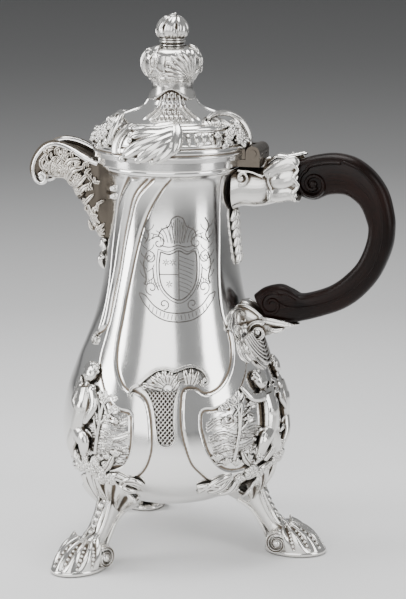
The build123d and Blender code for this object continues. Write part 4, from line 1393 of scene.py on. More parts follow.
    def lower_socket(self):
        socket = Casting()
        top = [
            (31.5, 134), (37, 134.8), (41, 134.2), (45.5, 131.6), (51, 128.8), (57, 126.6), (62, 125.2), (66.9, 124.1)
        ]
        low = [
            (31.5, 121.5), (36, 119.5), (41, 117.4), (46.5, 116.2), (52, 117.2), (57, 119.4), (62, 121.6),
            (66.9, 123.2)
        ]
        spine, upright, half = paired(top, low, 44)
        width = np.interp(np.linspace(0, 1, 44), (0, 0.3, 0.6, 1.0), (7.0, 6.6, 6.2, 2.0))
        socket.add(swept(spine, (0, 1, 0), upright, width, half, 30, 2.3))
        for hand in (-1, 1):
            socket.add(volute((46.6, 119.6), 5.6, 2.3, 1.9, 60, 470), side_plane(6.3, hand))
            lay = side_plane(5.4, hand)
            socket.add(
                lobe(
                    [(47, 126.4, 0.3), (53, 125.6, 1.2), (59, 124.8, 1.1), (65.6, 124.0, 0.4)], 1.9, 1.3, crease=0.4,
                    tip=0.25, base=0.35, count=30
                ),
                lay
            )
            socket.add(
                lobe(
                    [(52, 121.6, 0.2), (56, 120.8, 0.8), (60.6, 122.0, 0.3)], 1.5, 1.1, crease=0.4, tip=0.2, base=0.4,
                    count=20
                ),
                lay
            )
            socket.add(
                ribbon([(34, 131.4), (39, 133.0), (44, 131.0), (48.4, 127.6)], 1.7, 1.3, hollow=0.3, count=40), lay
            )
        obj = socket.make("lower_socket_leaves", fuse=SOCKET_GRAIN[1], soften=1)
        finish_piece(obj, "cast", "pot", "lower_socket")
        fan = Casting()
        lay = on_body(0, 112)
        fan.add(scallop((0, 10), -90, 84, 21.5, 3.0, 9, depth=0.35, lift=0.2, stretch=0.72), lay)
        for k in range(8):
            reach = 6.0 + 2.1 * k
            arc = [
                (0.74 * reach * math.sin(a), 10 - reach * math.cos(a), 3.6 - 0.2 * k)
                for a in np.linspace(-1.35, 1.35, 15)
            ]
            fan.add(ribbon(arc, 1.3, 0.9, hollow=0.1, count=44, edge=0.6), lay)
        for hand in (-1, 1):
            fan.add(volute((hand * 6.6, 11.0), 3.0, 1.4, 1.6, 90, hand * 380), lay)
            fan.add(
                ribbon(
                    [(hand * 9.6, 10), (hand * 13.4, 1), (hand * 11.4, -7.0), (hand * 5, -12.4)], 1.9, 2.0, count=50
                ),
                lay
            )
        finish_piece(fan.make("handle_shell"), "cast", "pot", "handle_fan")


# ---- feet --------------------------------------------------------------------------------------------
LEG_OUT = [(46, 47), (48.7, 37), (51.4, 29.1), (55.6, 21.6), (60.4, 17.6), (65, 16.0)]
LEG_IN = [(29.5, 31.0), (34.9, 28.3), (41.9, 24), (48.3, 16.0), (52.7, 10.0), (58, 7.0)]


def leg_lay(points):
    """Lays ornament (across, down the leg, lift) on the leg's outer face."""
    line = smooth_line(LEG_OUT, 60)
    s = np.concatenate([[0], np.cumsum(np.linalg.norm(np.diff(line, axis=0), axis=1))])
    tangent = np.gradient(line, axis=0)
    tangent /= np.linalg.norm(tangent, axis=1)[:, None]
    across, at, lift = parts_of(points)
    lift = lift - 0.035 * across**2
    x = np.interp(at, s, line[:, 0]) - np.interp(at, s, tangent[:, 1]) * lift
    z = np.interp(at, s, line[:, 1]) + np.interp(at, s, tangent[:, 0]) * lift
    return np.stack([x, across, z], axis=-1)


TOE_RIBS = (-2.5, -1.5, -0.5, 0.5, 1.5, 2.5)  # rows of pearls, between the ribs
TOE_SPREAD = 98.0  # degrees each way


def toe_shell():
    """The scalloped toe: ribs run from a straight hinge at the top down to the sole's rim."""
    a = np.linspace(-1, 1, 91)[:, None]
    t = np.linspace(0, 1, 34)[None, :]
    turn = np.radians(a * TOE_SPREAD)
    start = np.stack(
        np.broadcast_arrays(63.5 - 2.5 * a**2 + 0 * t, 8.4 * a, 18.4 + 1.2 * a**2 + 0.5 * np.cos(a * 6 * math.pi)), -1
    )
    end = np.stack(np.broadcast_arrays(66.2 + 15.8 * np.cos(turn) + 0 * t, 12.0 * np.sin(turn), 5.0 + 0 * t), -1)
    out = np.stack(np.broadcast_arrays(np.cos(turn) * 0.75 + 0 * t, np.sin(turn) * 0.75, 0.66 + 0 * t), -1)
    bulge = (
        2.5 * np.sin(np.pi * t)
        + (0.6 * np.cos(a * 6 * math.pi)) * np.sin(np.pi * np.clip(t * 0.9 + 0.1, 0, 1)) ** 0.5
    )[..., None]
    points = start + (end - start) * t[..., None] + out * bulge
    return capped_shell(points, np.array([62.0, 0, 6.0]))


def capped_shell(top, middle):
    """A closed piece between a grid of points and one point behind it."""
    n, m, _ = top.shape
    border = border_of(n, m)
    points = np.vstack([top.reshape(-1, 3), middle])
    faces = grid_faces(n, m)
    for k, (i, j) in enumerate(border):
        i2, j2 = border[(k + 1) % len(border)]
        faces.append([i * m + j, i2 * m + j2, n * m])
    return points, faces


def foot():
    """One leg with its scrolls and shell toe, under the handle."""
    leg = Casting()
    spine, upright, half = paired(LEG_OUT, LEG_IN, 40)
    width = np.interp(np.linspace(0, 1, 40), (0, 0.35, 0.75, 1.0), (6.6, 4.6, 4.0, 5.4))
    leg.add(swept(spine, (0, 1, 0), upright, width, half, 30, 2.4))
    leg.add(toe_shell())
    rim = np.linspace(0, 2 * math.pi, 49)[:-1]
    plate = [
        np.column_stack([66.2 + (16.2 * f) * np.cos(rim), (12.2 * f) * np.sin(rim), np.full(48, z)])
        for f, z in ((0.9, 3.02), (0.985, 3.5), (1.0, 4.4), (0.99, 5.4), (0.93, 6.0))
    ]
    leg.add(tube(plate))
    for k in TOE_RIBS:
        a = math.radians(k * TOE_SPREAD / 3.0)
        for j in range(6):
            t = 0.28 + 0.12 * j
            at = np.array([63.5, 8.4 * k / 3.0, 18.4]) * (1 - t) + np.array(
                [66.2 + 15.8 * math.cos(a), 12 * math.sin(a), 5.0]
            ) * t
            at = at + np.array([math.cos(a) * 0.75, math.sin(a) * 0.75, 0.66]) * (2.2 * math.sin(math.pi * t) - 0.3)
            leg.add(pearl(at, 1.05 - 0.08 * abs(j - 3), sides=10))
    for hand in (-1, 1):
        leg.add(
            swept(
                np.array([(58.8, hand * y, 9.9) for y in (3.0, 6.0, 9.8, 10.6)]), (1, 0, 0),
                np.array([(0, 0, 1.0)] * 4), (6.4, 6.6, 6.6, 5.8), (6.4, 6.6, 6.6, 5.8), 40, 2.0
            )
        )
        leg.add(volute((58.8, 9.9), 5.6, 2.1, 2.8, 60, 560, 0.38), side_plane(10.2, hand))
        leg.add(
            ribbon([(48, 36), (51.2, 27), (55.8, 19.6), (60.5, 16.4), (64.0, 13.5), (64.6, 9.5)], 2.0, 1.0, count=60),
            side_plane(4.1, hand)
        )
        leg.add(
            ribbon([(36, 29.5), (43.5, 24.8), (49, 16.6), (52.4, 9.4)], 1.6, 0.8, count=50), side_plane(4.1, hand)
        )
    for hand in (-1, 1):
        leg.add(
            ribbon(
                [(hand * 4.2, 2, 0.2), (hand * 3.2, 14, 0.3), (hand * 2.4, 24, 0.3), (hand * 4.4, 32, 0.3)], 1.3, 1.0
            ),
            leg_lay
        )
    for k in range(5):
        leg.add(
            lobe(
                [(0, 12.5 + 3.6 * k, 0.1), (0, 15.0 + 3.6 * k, 1.2), (0, 16.8 + 3.6 * k, 0.8)], 2.2 - 0.12 * k, 1.0,
                crease=0.4, count=14
            ),
            leg_lay
        )
    return leg


def knee():
    """The leaves and blossoms where a leg meets the body."""
    leaves = Casting()
    lay = on_body(0, 44)

    def over_leg(points):
        x, y, lift = parts_of(points)
        return lay(np.stack([x, y, lift + np.clip(8.2 - 0.37 * (y + 13), 0, 9)], axis=-1))

    leaves.add(scallop((0, -15), 90, 66, 25, 1.9, 7, depth=0.8, lift=-0.4, stretch=0.82), over_leg)
    for hand in (-1, 1):
        for path, wide in (
            (
                [
                    (hand * 1.2, -13.6, 6.0), (hand * 6.6, -11.6, 3.0), (hand * 12.0, -9.8, 1.6),
                    (hand * 16.4, -8.0, 0.6)
                ],
                2.2
            ),
            ([(hand * 9, 9.4, 0.6), (hand * 15, 10.4, 1.8), (hand * 20, 8.0, 1.3), (hand * 24, 4.0, 0.5)], 2.6),
        ):
            leaves.add(lobe(path, wide, 1.7, crease=0.5, tip=0.3, base=0.3, count=30), lay)
        for x, y, size in ((6.0, 12.0, 3.2), (11.6, 10.0, 2.5), (3.4, 17.6, 2.4), (9.8, 16.6, 2.0)):
            leaves.add(flower((hand * x, y, 1.4), size, 6, 1.8, turn=13 * x), lay)
    leaves.add(
        lobe(
            [(0, -13, 8.6), (0, -4, 5.2), (0, 4, 3.4), (0, 10.4, 1.6)], 2.6, 1.8, crease=0.5, tip=0.3, base=0.3,
            count=30
        ),
        lay
    )
    leaves.add(flower((0, 13, 2.4), 3.6, 6, 2.0), lay)
    return leaves


class POT_OT_feet(bpy.types.Operator):
    """Casts one foot and one knee of leaves and sets them three times round the body"""

    bl_idname = "pot.feet"
    bl_label = "Feet"

    def execute(self, context):
        leg, leaves = foot(), knee()
        for number, azimuth in enumerate(FOOT_TURNS, 1):
            piece = leg.turned(azimuth).make(f"shell_foot_{number}")
            finish_piece(piece, "cast", "pot", f"foot_{number}")
            piece = leaves.turned(azimuth).make(f"knee_leaves_{number}")
            finish_piece(piece, "cast", "pot", f"knee_leaf_{number}")
        return {"FINISHED"}


# ---- cast figures and chased ornament on the body ----------------------------------------------------


def limb(points, radius):
    """One rounded arm, leg or trunk of a child."""
    return cord_of(points, radius, count=22, sides=12)


def putto(head, shoulders, elbow, hand, elbow2, hand2, belly, hips, knee, foot_at, knee2, foot2):
    """A small winged child in high relief; every place is (across, up, out) in millimetres."""
    figure = Casting()
    chest = tuple((a + b) / 2 for a, b in zip(*shoulders))
    figure.add(pearl(head, 4.9, (0.94, 1.06, 1.0), 18))
    figure.add(limb([chest, head], (1.9, 2.0)))
    figure.add(limb([chest, belly, hips], (4.7, 5.4, 4.8)))
    figure.add(pearl((belly[0], belly[1], belly[2] + 1.4), 4.6))
    for side in shoulders:
        figure.add(pearl(side, 3.1))
    figure.add(limb([shoulders[0], elbow, hand], (2.8, 2.5, 1.7)))
    figure.add(limb([shoulders[1], elbow2, hand2], (2.8, 2.5, 1.7)))
    for at in (hand, hand2):
        figure.add(pearl(at, 1.5))
    for bend, end in ((knee, foot_at), (knee2, foot2)):
        figure.add(
            limb([hips, tuple((a * 0.45 + b * 0.55) for a, b in zip(hips, bend)), bend, end], (4.5, 4.2, 3.2, 1.9))
        )
        figure.add(pearl((end[0], end[1] - 0.6, end[2] + 0.7), 1.6, (1.0, 0.8, 1.5)))
    x, y, z = head
    figure.add(pearl((x, y - 0.6, z + 4.1), 0.75))
    figure.add(pearl((x, y - 3.0, z + 3.2), 1.0))
    for side in (-1, 1):
        figure.add(pearl((x + side * 1.9, y - 1.6, z + 2.9), 1.45))
        figure.add(pearl((x + side * 1.5, y + 0.9, z + 3.5), 0.5))
    for k in range(26):
        turn = k * 2.4
        up = 0.15 + 0.85 * k / 26
        r = 4.8 * math.sqrt(1 - up * up * 0.9)
        at = (x + r * math.cos(turn), y + 4.4 * up + 0.4, z + r * math.sin(turn) * 0.75)
        if at[2] < z + 2.9 or up > 0.55:
            figure.add(pearl(at, 1.15, sides=8))
    return figure


def wing(figure, feathers):
    """Adds a wing of three feathers."""
    for x0, y0, x1, y1 in feathers:
        path = [(x0, y0, 1.0), ((x0 + x1) / 2, (y0 + y1) / 2 + 1, 2.4), (x1, y1, 0.6)]
        figure.add(lobe(path, 1.7, 1.4, crease=0.4))


def cloud_and_drapery(figure, points):
    """Adds folds and small clouds below a child."""
    for x, y, size in points:
        figure.add(
            lobe(
                [(x - size, y, 0.4), (x, y + size * 0.4, 2.6), (x + size, y - size * 0.3, 0.6)], size * 0.5, 1.6,
                crease=0.5
            )
        )


def putto_by_handle():
    """The child that leans on the frame beside the handle."""
    figure = putto(
        (-2.0, 21.5, 4.2), ((5.8, 13, 3.4), (-3.4, 13.4, 3.6)), (-9.6, 13.6, 3.8), (-15.0, 19.6, 2.6),
        (9.4, 8.0, 3.0), (6.0, 1.4, 4.8),
        (1.4, 5.0, 4.2), (-0.6, -4.4, 3.4), (-7.4, -8.6, 5.4), (-9.4, -17.5, 2.6), (5.0, -12.8, 4.8),
        (11.0, -19.5, 2.8),
    )
    wing(figure, ((6, 12, 13, 18), (6.6, 11, 14.6, 14.6), (7, 10, 15, 11)))
    cloud_and_drapery(figure, [(-6, -5, 3.6), (3, -7, 4.0), (9, -10, 3.4), (-3, -14, 3.2)])
    return figure


def putto_by_spout():
    """The child that stands beside the spout."""
    figure = putto(
        (1.4, 26.0, 4.2), ((-4.4, 17, 3.2), (5.0, 17.6, 3.6)), (-7.4, 9.4, 3.6), (-1.0, 4.4, 5.0), (9.6, 10.6, 4.2),
        (5.4, 1.6, 4.6),
        (1.6, 8.8, 4.2), (-1.2, -3.4, 3.6), (6.0, -8.4, 5.4), (3.6, -17.6, 2.8), (-5.6, -11.4, 4.4),
        (-8.6, -19.5, 2.4),
    )
    wing(figure, ((-5, 17, -12, 22), (-5.6, 15.4, -13.6, 18.2), (-6, 14, -13.8, 14.4)))
    cloud_and_drapery(figure, [(6, -5, 3.6), (-3, -7, 4.0), (-8, -10, 3.4), (2, -14, 3.2)])
    return figure


class POT_OT_cherubs(bpy.types.Operator):
    """Models the two children in relief and sets a pair on each side of the body"""

    bl_idname = "pot.cherubs"
    bl_label = "Cherubs"

    def execute(self, context):
        for number, (azimuth, figure, flip) in enumerate(
            (
                (-16.0, putto_by_handle(), False), (-129.0, putto_by_spout(), False), (129.0, putto_by_spout(), True),
                (16.0, putto_by_handle(), True)
            ),
            1
        ):
            piece = Casting()
            near = -abs(azimuth)
            lay = on_body(near, 76)
            piece.points = [lay((np.vstack(figure.points) - (0, 0, 0.8)) * (1, 1, 0.62))]
            piece.faces = figure.faces
            piece.count = figure.count
            obj = piece.turned(0, flip).make(f"putto_{number}", fuse=PUTTO_GRAIN, soften=1)
            finish_piece(obj, "cast", "pot", f"cherub_{number}")
        return {"FINISHED"}


def mapped_lay(points):
    """Lays points whose coordinates are millimetres about azimuth -70 on a reference radius of 50."""
    across, up, lift = parts_of(points)
    return BODY.place(-70 + np.degrees(across / 50.0), up, lift)


def mapped(points, lifts=0.0):
    """Mapped (azimuth, height) points as millimetres for mapped_lay."""
    points = np.asarray(points, float)
    lifts = np.broadcast_to(lifts, len(points))
    return np.column_stack([np.radians(points[:, 0] + 70) * 50.0, BODY.at_z(points[:, 1]), lifts])


def crest():
    """The rocaille crest over the trellis, ending in a curl on its right."""
    part = Casting()
    lay = mapped_lay
    rim = [
        (-93.5, 99.5), (-88.6, 103.6), (-83.6, 106.4), (-78.4, 107.0), (-73.4, 106.0), (-68.2, 107.4), (-62.8, 108.0),
        (-57.6, 106.2), (-54.6, 102.6), (-55.0, 99.6), (-57.6, 99.2), (-58.0, 101.4)
    ]
    part.add(ribbon(mapped(rim, 1.0), 3.4, 2.2, hollow=0.2, count=110, edge=0.45, taper=(0.8, 0.6)), lay)
    under = [
        (-91, 97.6), (-86.4, 99.8), (-82, 101.8), (-77.4, 102.2), (-73, 101.2), (-68.4, 102.4), (-63.4, 102.8),
        (-59.8, 100.4)
    ]
    part.add(ribbon(mapped(under, 0.8), 2.0, 1.5, hollow=0.2, count=90), lay)
    part.add(pearl(mapped([(-56.6, 101.4)], 2.4)[0], 1.3), lay)
    for a0, z0, a1, z1, width in (
        (-79, 99.0, -87, 103.2, 1.6), (-78.6, 99.6, -83.6, 105.4, 1.7), (-77.6, 100, -79.6, 106.6, 1.8),
        (-76.6, 100, -75.2, 106.0, 1.7),
        (-75.6, 99.6, -71.6, 104.8, 1.5), (-66, 99.6, -67.6, 106.6, 1.6), (-64.6, 99.8, -63.4, 107.0, 1.6),
        (-63.4, 99.4, -59.6, 105.8, 1.4),
        (-80, 97.8, -91.4, 99.6, 1.5), (-74, 97.6, -70.4, 102, 1.4),
    ):
        middle = ((a0 + a1) / 2, (z0 + z1) / 2)
        part.add(
            lobe(mapped([(a0, z0), middle, (a1, z1)], (1.0, 2.8, 1.6)), width, 1.5, crease=0.5, tip=0.4, base=0.5),
            lay
        )
    part.add(
        ribbon(mapped([(-93.5, 99.0), (-97.2, 97.0), (-98.4, 93.6), (-96.0, 92.6)], 0.9), 1.8, 1.3, taper=(1.0, 0.5)),
        lay
    )
    return part


def trellis():
    """The tapering trellis panel with its basket weave and borders."""
    part = Casting()
    lay = mapped_lay
    borders = (
        [(-92.0, 97.6), (-88.0, 94.6), (-84.8, 88), (-83.2, 79), (-82.0, 72.6), (-80.4, 70.6)],
        [(-71.0, 97.6), (-73.0, 91), (-73.6, 82), (-73.2, 74), (-74.8, 70.6)],
    )
    for line in borders:
        part.add(ribbon(mapped(line, 0.3), 1.0, 1.0, count=60), lay)
    part.add(ribbon(mapped([(-80.8, 70.8), (-77.6, 69.8), (-74.6, 70.8)], 0.3), 1.0, 1.0), lay)
    left, right = np.array(borders[0])[::-1], np.array(borders[1])[::-1]
    for start in np.arange(52.0, 112.0, 2.5):
        for slope in (-1.15, 1.15):
            azimuth = np.linspace(-92, -71, 60)
            z = start + slope * (azimuth + 81.5) * 0.98
            low, high = np.interp(z, left[:, 1], left[:, 0]), np.interp(z, right[:, 1], right[:, 0])
            keep = (azimuth > low) & (azimuth < high) & (z > 70.8) & (z < 97.8)
            if keep.sum() > 3:
                part.add(
                    ribbon(mapped(np.column_stack([azimuth, z])[keep], 0.1), 0.75, 0.75, count=10, sink=0.4, edge=0.8),
                    lay
                )
    return part


def trellis_shade_ground():
    """A dark sheet of painted shade, with patina, that shows through the trellis."""
    rows = []
    for z in np.linspace(71.4, 97.0, 24):
        low = np.interp(z, (70.6, 72.6, 79, 88, 94.6, 97.6), (-80.4, -82.0, -83.2, -84.8, -88.0, -92.0))
        high = np.interp(z, (70.6, 74, 82, 91, 97.6), (-74.8, -73.2, -73.6, -73.0, -71.0))
        rows.append(mapped([(a, z) for a in np.linspace(high, low, 9)], 0.12))
    return Casting().add(capped(np.array(rows), 0.3), mapped_lay)


def medallion(left):
    """A landscape in low relief: hills, a path, a tree with large leaves, and water lines."""
    part = Casting()
    lay = mapped_lay
    rng = np.random.default_rng(7 if left else 11)
    if left:
        hills = (
            [(-124, 72), (-114, 74.5), (-106, 73), (-97, 76)], [(-122, 66), (-112, 68.6), (-103, 67), (-97, 69)],
            [(-118, 80), (-110, 83), (-103, 81), (-98, 83)]
        )
        trunk = [(-117.6, 62), (-116.0, 70), (-114.6, 78), (-113.4, 88)]
        tips = (
            (-121.6, 88), (-118.4, 92), (-113.2, 93.4), (-108.6, 91.0), (-105.8, 86.4), (-119.6, 82.6), (-107.4, 80.0)
        )
        ground = ((-121, 60.4), (-114.6, 58.6), (-108.4, 60.2), (-103.8, 63.0))
        span = (-121, -99)
    else:
        hills = (
            [(-57, 80), (-50, 83), (-44, 80.6), (-37, 83.6), (-28, 82)],
            [(-56, 73.6), (-48, 75.6), (-40, 73), (-30, 75.8), (-22, 74)],
            [(-54, 68), (-46, 69.6), (-38, 67.4), (-28, 69.4)]
        )
        trunk = [(-41.6, 60.6), (-40.4, 67.6), (-38.6, 75), (-36.8, 82), (-34.6, 88.6)]
        tips = (
            (-46.6, 86.6), (-41.8, 91.0), (-36.4, 93.6), (-30.6, 91.8), (-27.4, 86.6), (-30.8, 80.2), (-44.6, 80.4)
        )
        ground = ((-51.6, 61.6), (-46.4, 58.8), (-39.6, 57.4), (-32.4, 58.4), (-26.8, 60.6))
        span = (-55, -25)
    for line in hills:
        for drop in (0.0, 1.6, 3.0):
            lower = [(a, z - drop) for a, z in line]
            part.add(ribbon(mapped(lower, 0.0), 1.7, 0.5 - 0.1 * drop, count=50, edge=0.9), lay)
    part.add(cord_of(mapped(trunk, (0.2, 0.7, 0.9, 0.8, 0.5)[: len(trunk)]), (1.0, 0.85, 0.65, 0.4), sides=8), lay)
    for k, (a, z) in enumerate(tips):
        root = trunk[-1 - (k % 3)]
        middle = ((a + root[0]) / 2 + rng.uniform(-1, 1), (z + root[1]) / 2 + rng.uniform(-0.6, 1.2))
        part.add(cord_of(mapped([root, middle, (a, z)], 0.7), (0.6, 0.4), count=12, sides=6), lay)
        for turn in (-1, 0, 1):
            end = (a + turn * 3.4 + rng.uniform(-0.6, 0.6), z + 2.0 - abs(turn) * 2.6)
            start = ((a * 2 + middle[0]) / 3, (z * 2 + middle[1]) / 3)
            half = ((start[0] + end[0]) / 2 + turn, (start[1] + end[1]) / 2 + 0.6)
            part.add(
                lobe(mapped([start, half, end], (0.4, 1.0, 0.4)), 1.7, 0.65, crease=0.55, tip=0.12, count=12), lay
            )
    for a, z in ground:
        for turn in range(-2, 3):
            end = (a + turn * 1.9, z + 4.4 - abs(turn) * 1.2)
            part.add(
                lobe(
                    mapped([(a, z), (a + turn, z + 2.4), end], (0.4, 1.2, 0.5)), 0.9, 0.9, crease=0.5, tip=0.15,
                    count=10
                ),
                lay
            )
    for k in range(110):
        a = rng.uniform(*span)
        z = rng.uniform(58.5, 86)
        length = rng.uniform(1.6, 3.6)
        tilt = rng.uniform(-0.3, 0.5)
        part.add(
            ribbon(mapped([(a - length, z - tilt), (a + length, z + tilt)], 0.05), 0.36, 0.45, count=5, sink=0.3), lay
        )
    for k in range(30):
        a, z = rng.uniform(*span), rng.uniform(60, 74)
        part.add(lobe(mapped([(a, z), (a + rng.uniform(-0.6, 0.6), z + 1.6)], 0.2), 0.5, 0.7, count=6), lay)
    return part


def blossoms():
    """The flowers and curling leaves under the medallions and the straps beside them."""
    part = Casting()
    lay = mapped_lay
    for a, z, size in (
        (-117.5, 49.8, 3.8), (-109.3, 50.6, 3.2), (-116.6, 58.2, 2.8), (-122.6, 56.2, 2.6), (-29, 52.9, 4.0),
        (-20, 50.6, 3.0),
        (-25.0, 60.6, 2.8), (-22.6, 66.0, 2.2), (-36.4, 50.4, 2.6),
    ):
        part.add(flower(mapped([(a, z)], 1.6)[0], size, 6, 1.8, turn=a * 7), lay)
    for path, width in (
        ([(-60.6, 47.4), (-53, 48.6), (-46, 47.0), (-40, 44.4)], 2.2),
        ([(-42, 52.6), (-48, 51.6), (-55, 48.2), (-60, 44.0)], 2.1),
        ([(-42, 50.6), (-47, 47.0), (-53, 43.4)], 1.9), ([(-36, 49.4), (-39, 44.6), (-44, 40.6)], 2.0),
        ([(-104, 47.6), (-99.6, 51.0), (-94.6, 51.4), (-90, 48.6)], 2.1),
        ([(-106, 47.0), (-101, 46.4), (-96, 43.8)], 1.9), ([(-124, 52.6), (-130, 56.8), (-133.6, 62.4)], 1.9),
        ([(-112, 54.6), (-107.8, 58.6), (-105, 63.8)], 1.6),
        ([(-31, 56.8), (-35.2, 60.4), (-38, 65)], 1.6), ([(-18, 56), (-14.6, 62), (-13, 68)], 1.7),
        ([(-120.6, 61.4), (-124, 66), (-125.6, 71.6)], 1.6),
    ):
        lifts = np.interp(np.linspace(0, 1, len(path)), (0, 0.5, 1), (0.9, 2.4, 1.0))
        part.add(lobe(mapped(path, lifts), width, 1.7, crease=0.5, tip=0.2, count=26), lay)
    for middle, hand in (((-137.6, 116.0), 1), ((-24.6, 116.6), -1)):
        at = mapped([middle], 0)[0]
        part.add(volute(at[:2], 3.2, 1.6, 1.5, 90, hand * 420), lay)
    edge = [(-22.4, 119.6), (-26.4, 114.6), (-26.2, 109.6), (-22.6, 106.0)]
    part.add(ribbon(mapped(edge, 0.6), 1.9, 1.8, hollow=0.3, count=70, taper=(0.6, 1.0)), lay)
    part.add(
        ribbon(
            mapped([(-31.6, 123), (-27.5, 128.4), (-21, 131.6), (-13.6, 130.8), (-8, 127.0)], 0.5), 2.4, 1.8,
            hollow=0.3, taper=(0.8, 0.5)
        ),
        lay
    )
    return part


def engraving():
    """A shield among scrolls with no device that means anything, as fine cut lines."""
    part = Casting()
    center = (-69.9, 154.0)

    def lay(points):
        across, up, lift = parts_of(points)
        s = BODY.at_z(center[1]) + up
        r = np.interp(s, BODY.s, BODY.r)
        return BODY.place(center[0] + np.degrees(across / r), s, lift)

    def line(points, width=0.42, count=40):
        part.add(ribbon(points, width * 1.3, 0.06, count=count, sink=0.1, edge=0.9), lay)

    def curl(x, y, radius, start, turn, width=0.45):
        line(spiral((x, y), radius, radius * 0.2, start, turn, 30), width, 50)

    shield = [
        (-8.6, 9.6), (-9.4, 2), (-8.4, -6.5), (-4.6, -12), (0.6, -14.4), (5.6, -11.4), (9.0, -5.6), (9.8, 2.2),
        (8.8, 9.6), (4.6, 8.4), (0.4, 10.2), (-4.2, 8.4), (-8.6, 9.6)
    ]
    line(shield, 0.55, 120)
    line([(x * 1.14, y * 1.12 + 0.2) for x, y in shield], 0.36, 120)
    for k in range(9):
        y = 7.6 - 2.1 * k
        line([(0.6, y), (4.6, y - 1.6), (8.4 - 0.25 * k, y - 3.1)], 0.24, 12)
    line([(0.4, 10), (0.4, -14)], 0.4, 20)
    line([(-9, -1.6), (0.4, -1.6)], 0.4, 12)
    for x, y in ((-6.0, 4.4), (-2.6, 4.4), (-4.4, -6.4)):
        for turn in range(0, 360, 60):
            a = math.radians(turn)
            line(
                [
                    (x + 0.4 * math.cos(a), y + 0.4 * math.sin(a)),
                    (x + 1.7 * math.cos(a + 0.4), y + 1.7 * math.sin(a + 0.4))
                ],
                0.34, 8
            )
    for hand in (-1, 1):

        def mirrored(points, width=0.42, count=40, hand=hand):
            line([(hand * x, y) for x, y in points], width, count)

        curl(hand * 9.6, 14.0, 3.6, 90 - hand * 60, hand * 420)
        curl(hand * 14.2, 6.4, 3.2, 90, hand * 400)
        curl(hand * 13.4, -8.6, 3.6, -90, hand * 430)
        curl(hand * 7.2, -16.4, 2.8, -90, -hand * 400)
        mirrored([(16.8, 13.4), (14.8, 17.6), (16.6, 22.0), (14.4, 26.2)], 0.6)
        mirrored([(15.8, 9.0), (17.6, 3.0), (16.2, -3.4), (17.0, -7.2)], 0.7)
        mirrored([(12.6, 1.4), (12.0, -4.0), (9.8, -9.6)], 0.5)
        for k in range(7):
            a = math.radians(30 + 22 * k)
            x0, y0 = 13.6 + 2.6 * math.cos(a), -8.6 + 2.6 * math.sin(a)
            mirrored([(x0, y0), (x0 + 2.2 * math.cos(a), y0 + 2.2 * math.sin(a))], 0.3, 6)
        for k in range(6):
            y = 20.4 - 5.0 * k
            mirrored([(15.6, y), (18.4, y + 2.2), (19.6, y + 4.4)], 0.42, 14)
            mirrored([(15.4, y - 1.0), (12.9, y + 0.8), (11.9, y + 2.8)], 0.34, 12)
        for k in range(5):
            x = 1.4 + 1.7 * k
            mirrored([(x, 13.6 + 0.3 * k), (x + 1.2, 19.6 - 0.5 * k), (x * 1.5 + 1.0, 24.6 - 1.5 * k)], 0.34, 14)
        mirrored([(0, 27.6), (2.8, 26.0), (4.4, 22.4), (8.0, 20.6), (9.6, 17.6)], 0.55)
        mirrored([(0, 13.0), (4.2, 12.0), (8.8, 12.8)], 0.45)
        mirrored([(16.6, -12.4), (12.0, -17.4), (6.4, -20.2), (0, -21.0)], 0.5)
        mirrored([(18.2, -15.6), (13.0, -21.2), (7.0, -24.4), (0, -25.4)], 0.5)
        mirrored([(16.6, -12.4), (20.0, -11.6), (18.2, -15.6)], 0.5, 16)
        for k in range(8):
            x = 1.2 + 1.9 * k
            y = -21.4 + 0.0235 * x * x
            mirrored([(x, y - 0.4), (x + 0.5, y - 2.9)], 0.3, 5)
    for k in range(-3, 4):
        line([(k * 0.8, 14.0), (k * 1.3, 20.0), (k * 1.0, 26.4 - abs(k) * 1.0)], 0.32, 14)
    return part


class POT_OT_chasing(bpy.types.Operator):
    """Chases the crest, trellis, medallions, blossoms and engraved shield on both sides of the body"""

    bl_idname = "pot.chasing"
    bl_label = "Chased ornament"

    def execute(self, context):
        pieces = (
            # The trellis's ground takes the deep finish, painted shade with patina.
            ("crest", crest(), "cast"), ("trellis", trellis(), "cast"), ("trellis_shade_ground", trellis_shade_ground(), "deep"),
            ("medallion_by_spout", medallion(True), "cast"),
            ("medallion_by_handle", medallion(False), "cast"), ("blossoms", blossoms(), "cast"),
            ("engraved_shield", engraving(), "engraved"),
        )
        for name, part, finish in pieces:
            for side, flip in (("near", False), ("far", True)):
                obj = part.turned(0, flip).make(f"{name}_{side}")
                finish_piece(obj, finish, "pot", "body_shell", hollows=finish != "engraved")
        return {"FINISHED"}


# ---- stage -------------------------------------------------------------------------------------------
CAMERA_TURN = 15.5  # degrees from the pot's own plane
CAMERA_PITCH = 12.0  # degrees below level
CAMERA_REACH = 1.050  # metres from the body's axis
CAMERA_HEIGHT = 0.355  # metres over the drawing's base
CAMERA_LENS = 125.3
CAMERA_SHIFT = (0.051, 0.0022)
AIM_HEIGHT = 0.13  # metres, where the lights point
SOFTBOXES = (  # name, size, power, place
    ("left_softbox", (0.55, 1.5), 18, (-1.25, -0.55, 0.6)),
    ("right_softbox", (0.5, 1.5), 11, (1.25, -0.45, 0.5)),
    ("front_softbox", (1.5, 1.6), 21, (-0.15, -1.75, 0.75)),
    ("top_softbox", (0.9, 0.8), 17, (-0.1, 0.15, 1.4)),
)

def soft_light(name, size, power, place, aim):
    """An area light at a place, turned towards a point."""
    light = bpy.data.lights.new(name, "AREA")
    light.shape = "RECTANGLE"
    light.size, light.size_y = size
    light.energy = power
    obj = bpy.data.objects.new(name, light)
    bpy.context.collection.objects.link(obj)
    obj.location = place
    obj.visible_camera = False
    direction = np.array(aim) - np.array(place)
    obj.rotation_euler = Vector(direction).to_track_quat("-Z", "Y").to_euler()
    return obj


FLOOR_R = 9.0  # metres
# The floor's shade by distance from the pot: a painted pool of light, pale by the pot and darker far away.
FLOOR_LIGHT_POOL = ((0.0, 0.92), (0.2, 0.88), (0.6, 0.55), (1.4, 0.33), (2.6, 0.25), (5.0, 0.17), (8.5, 0.12))


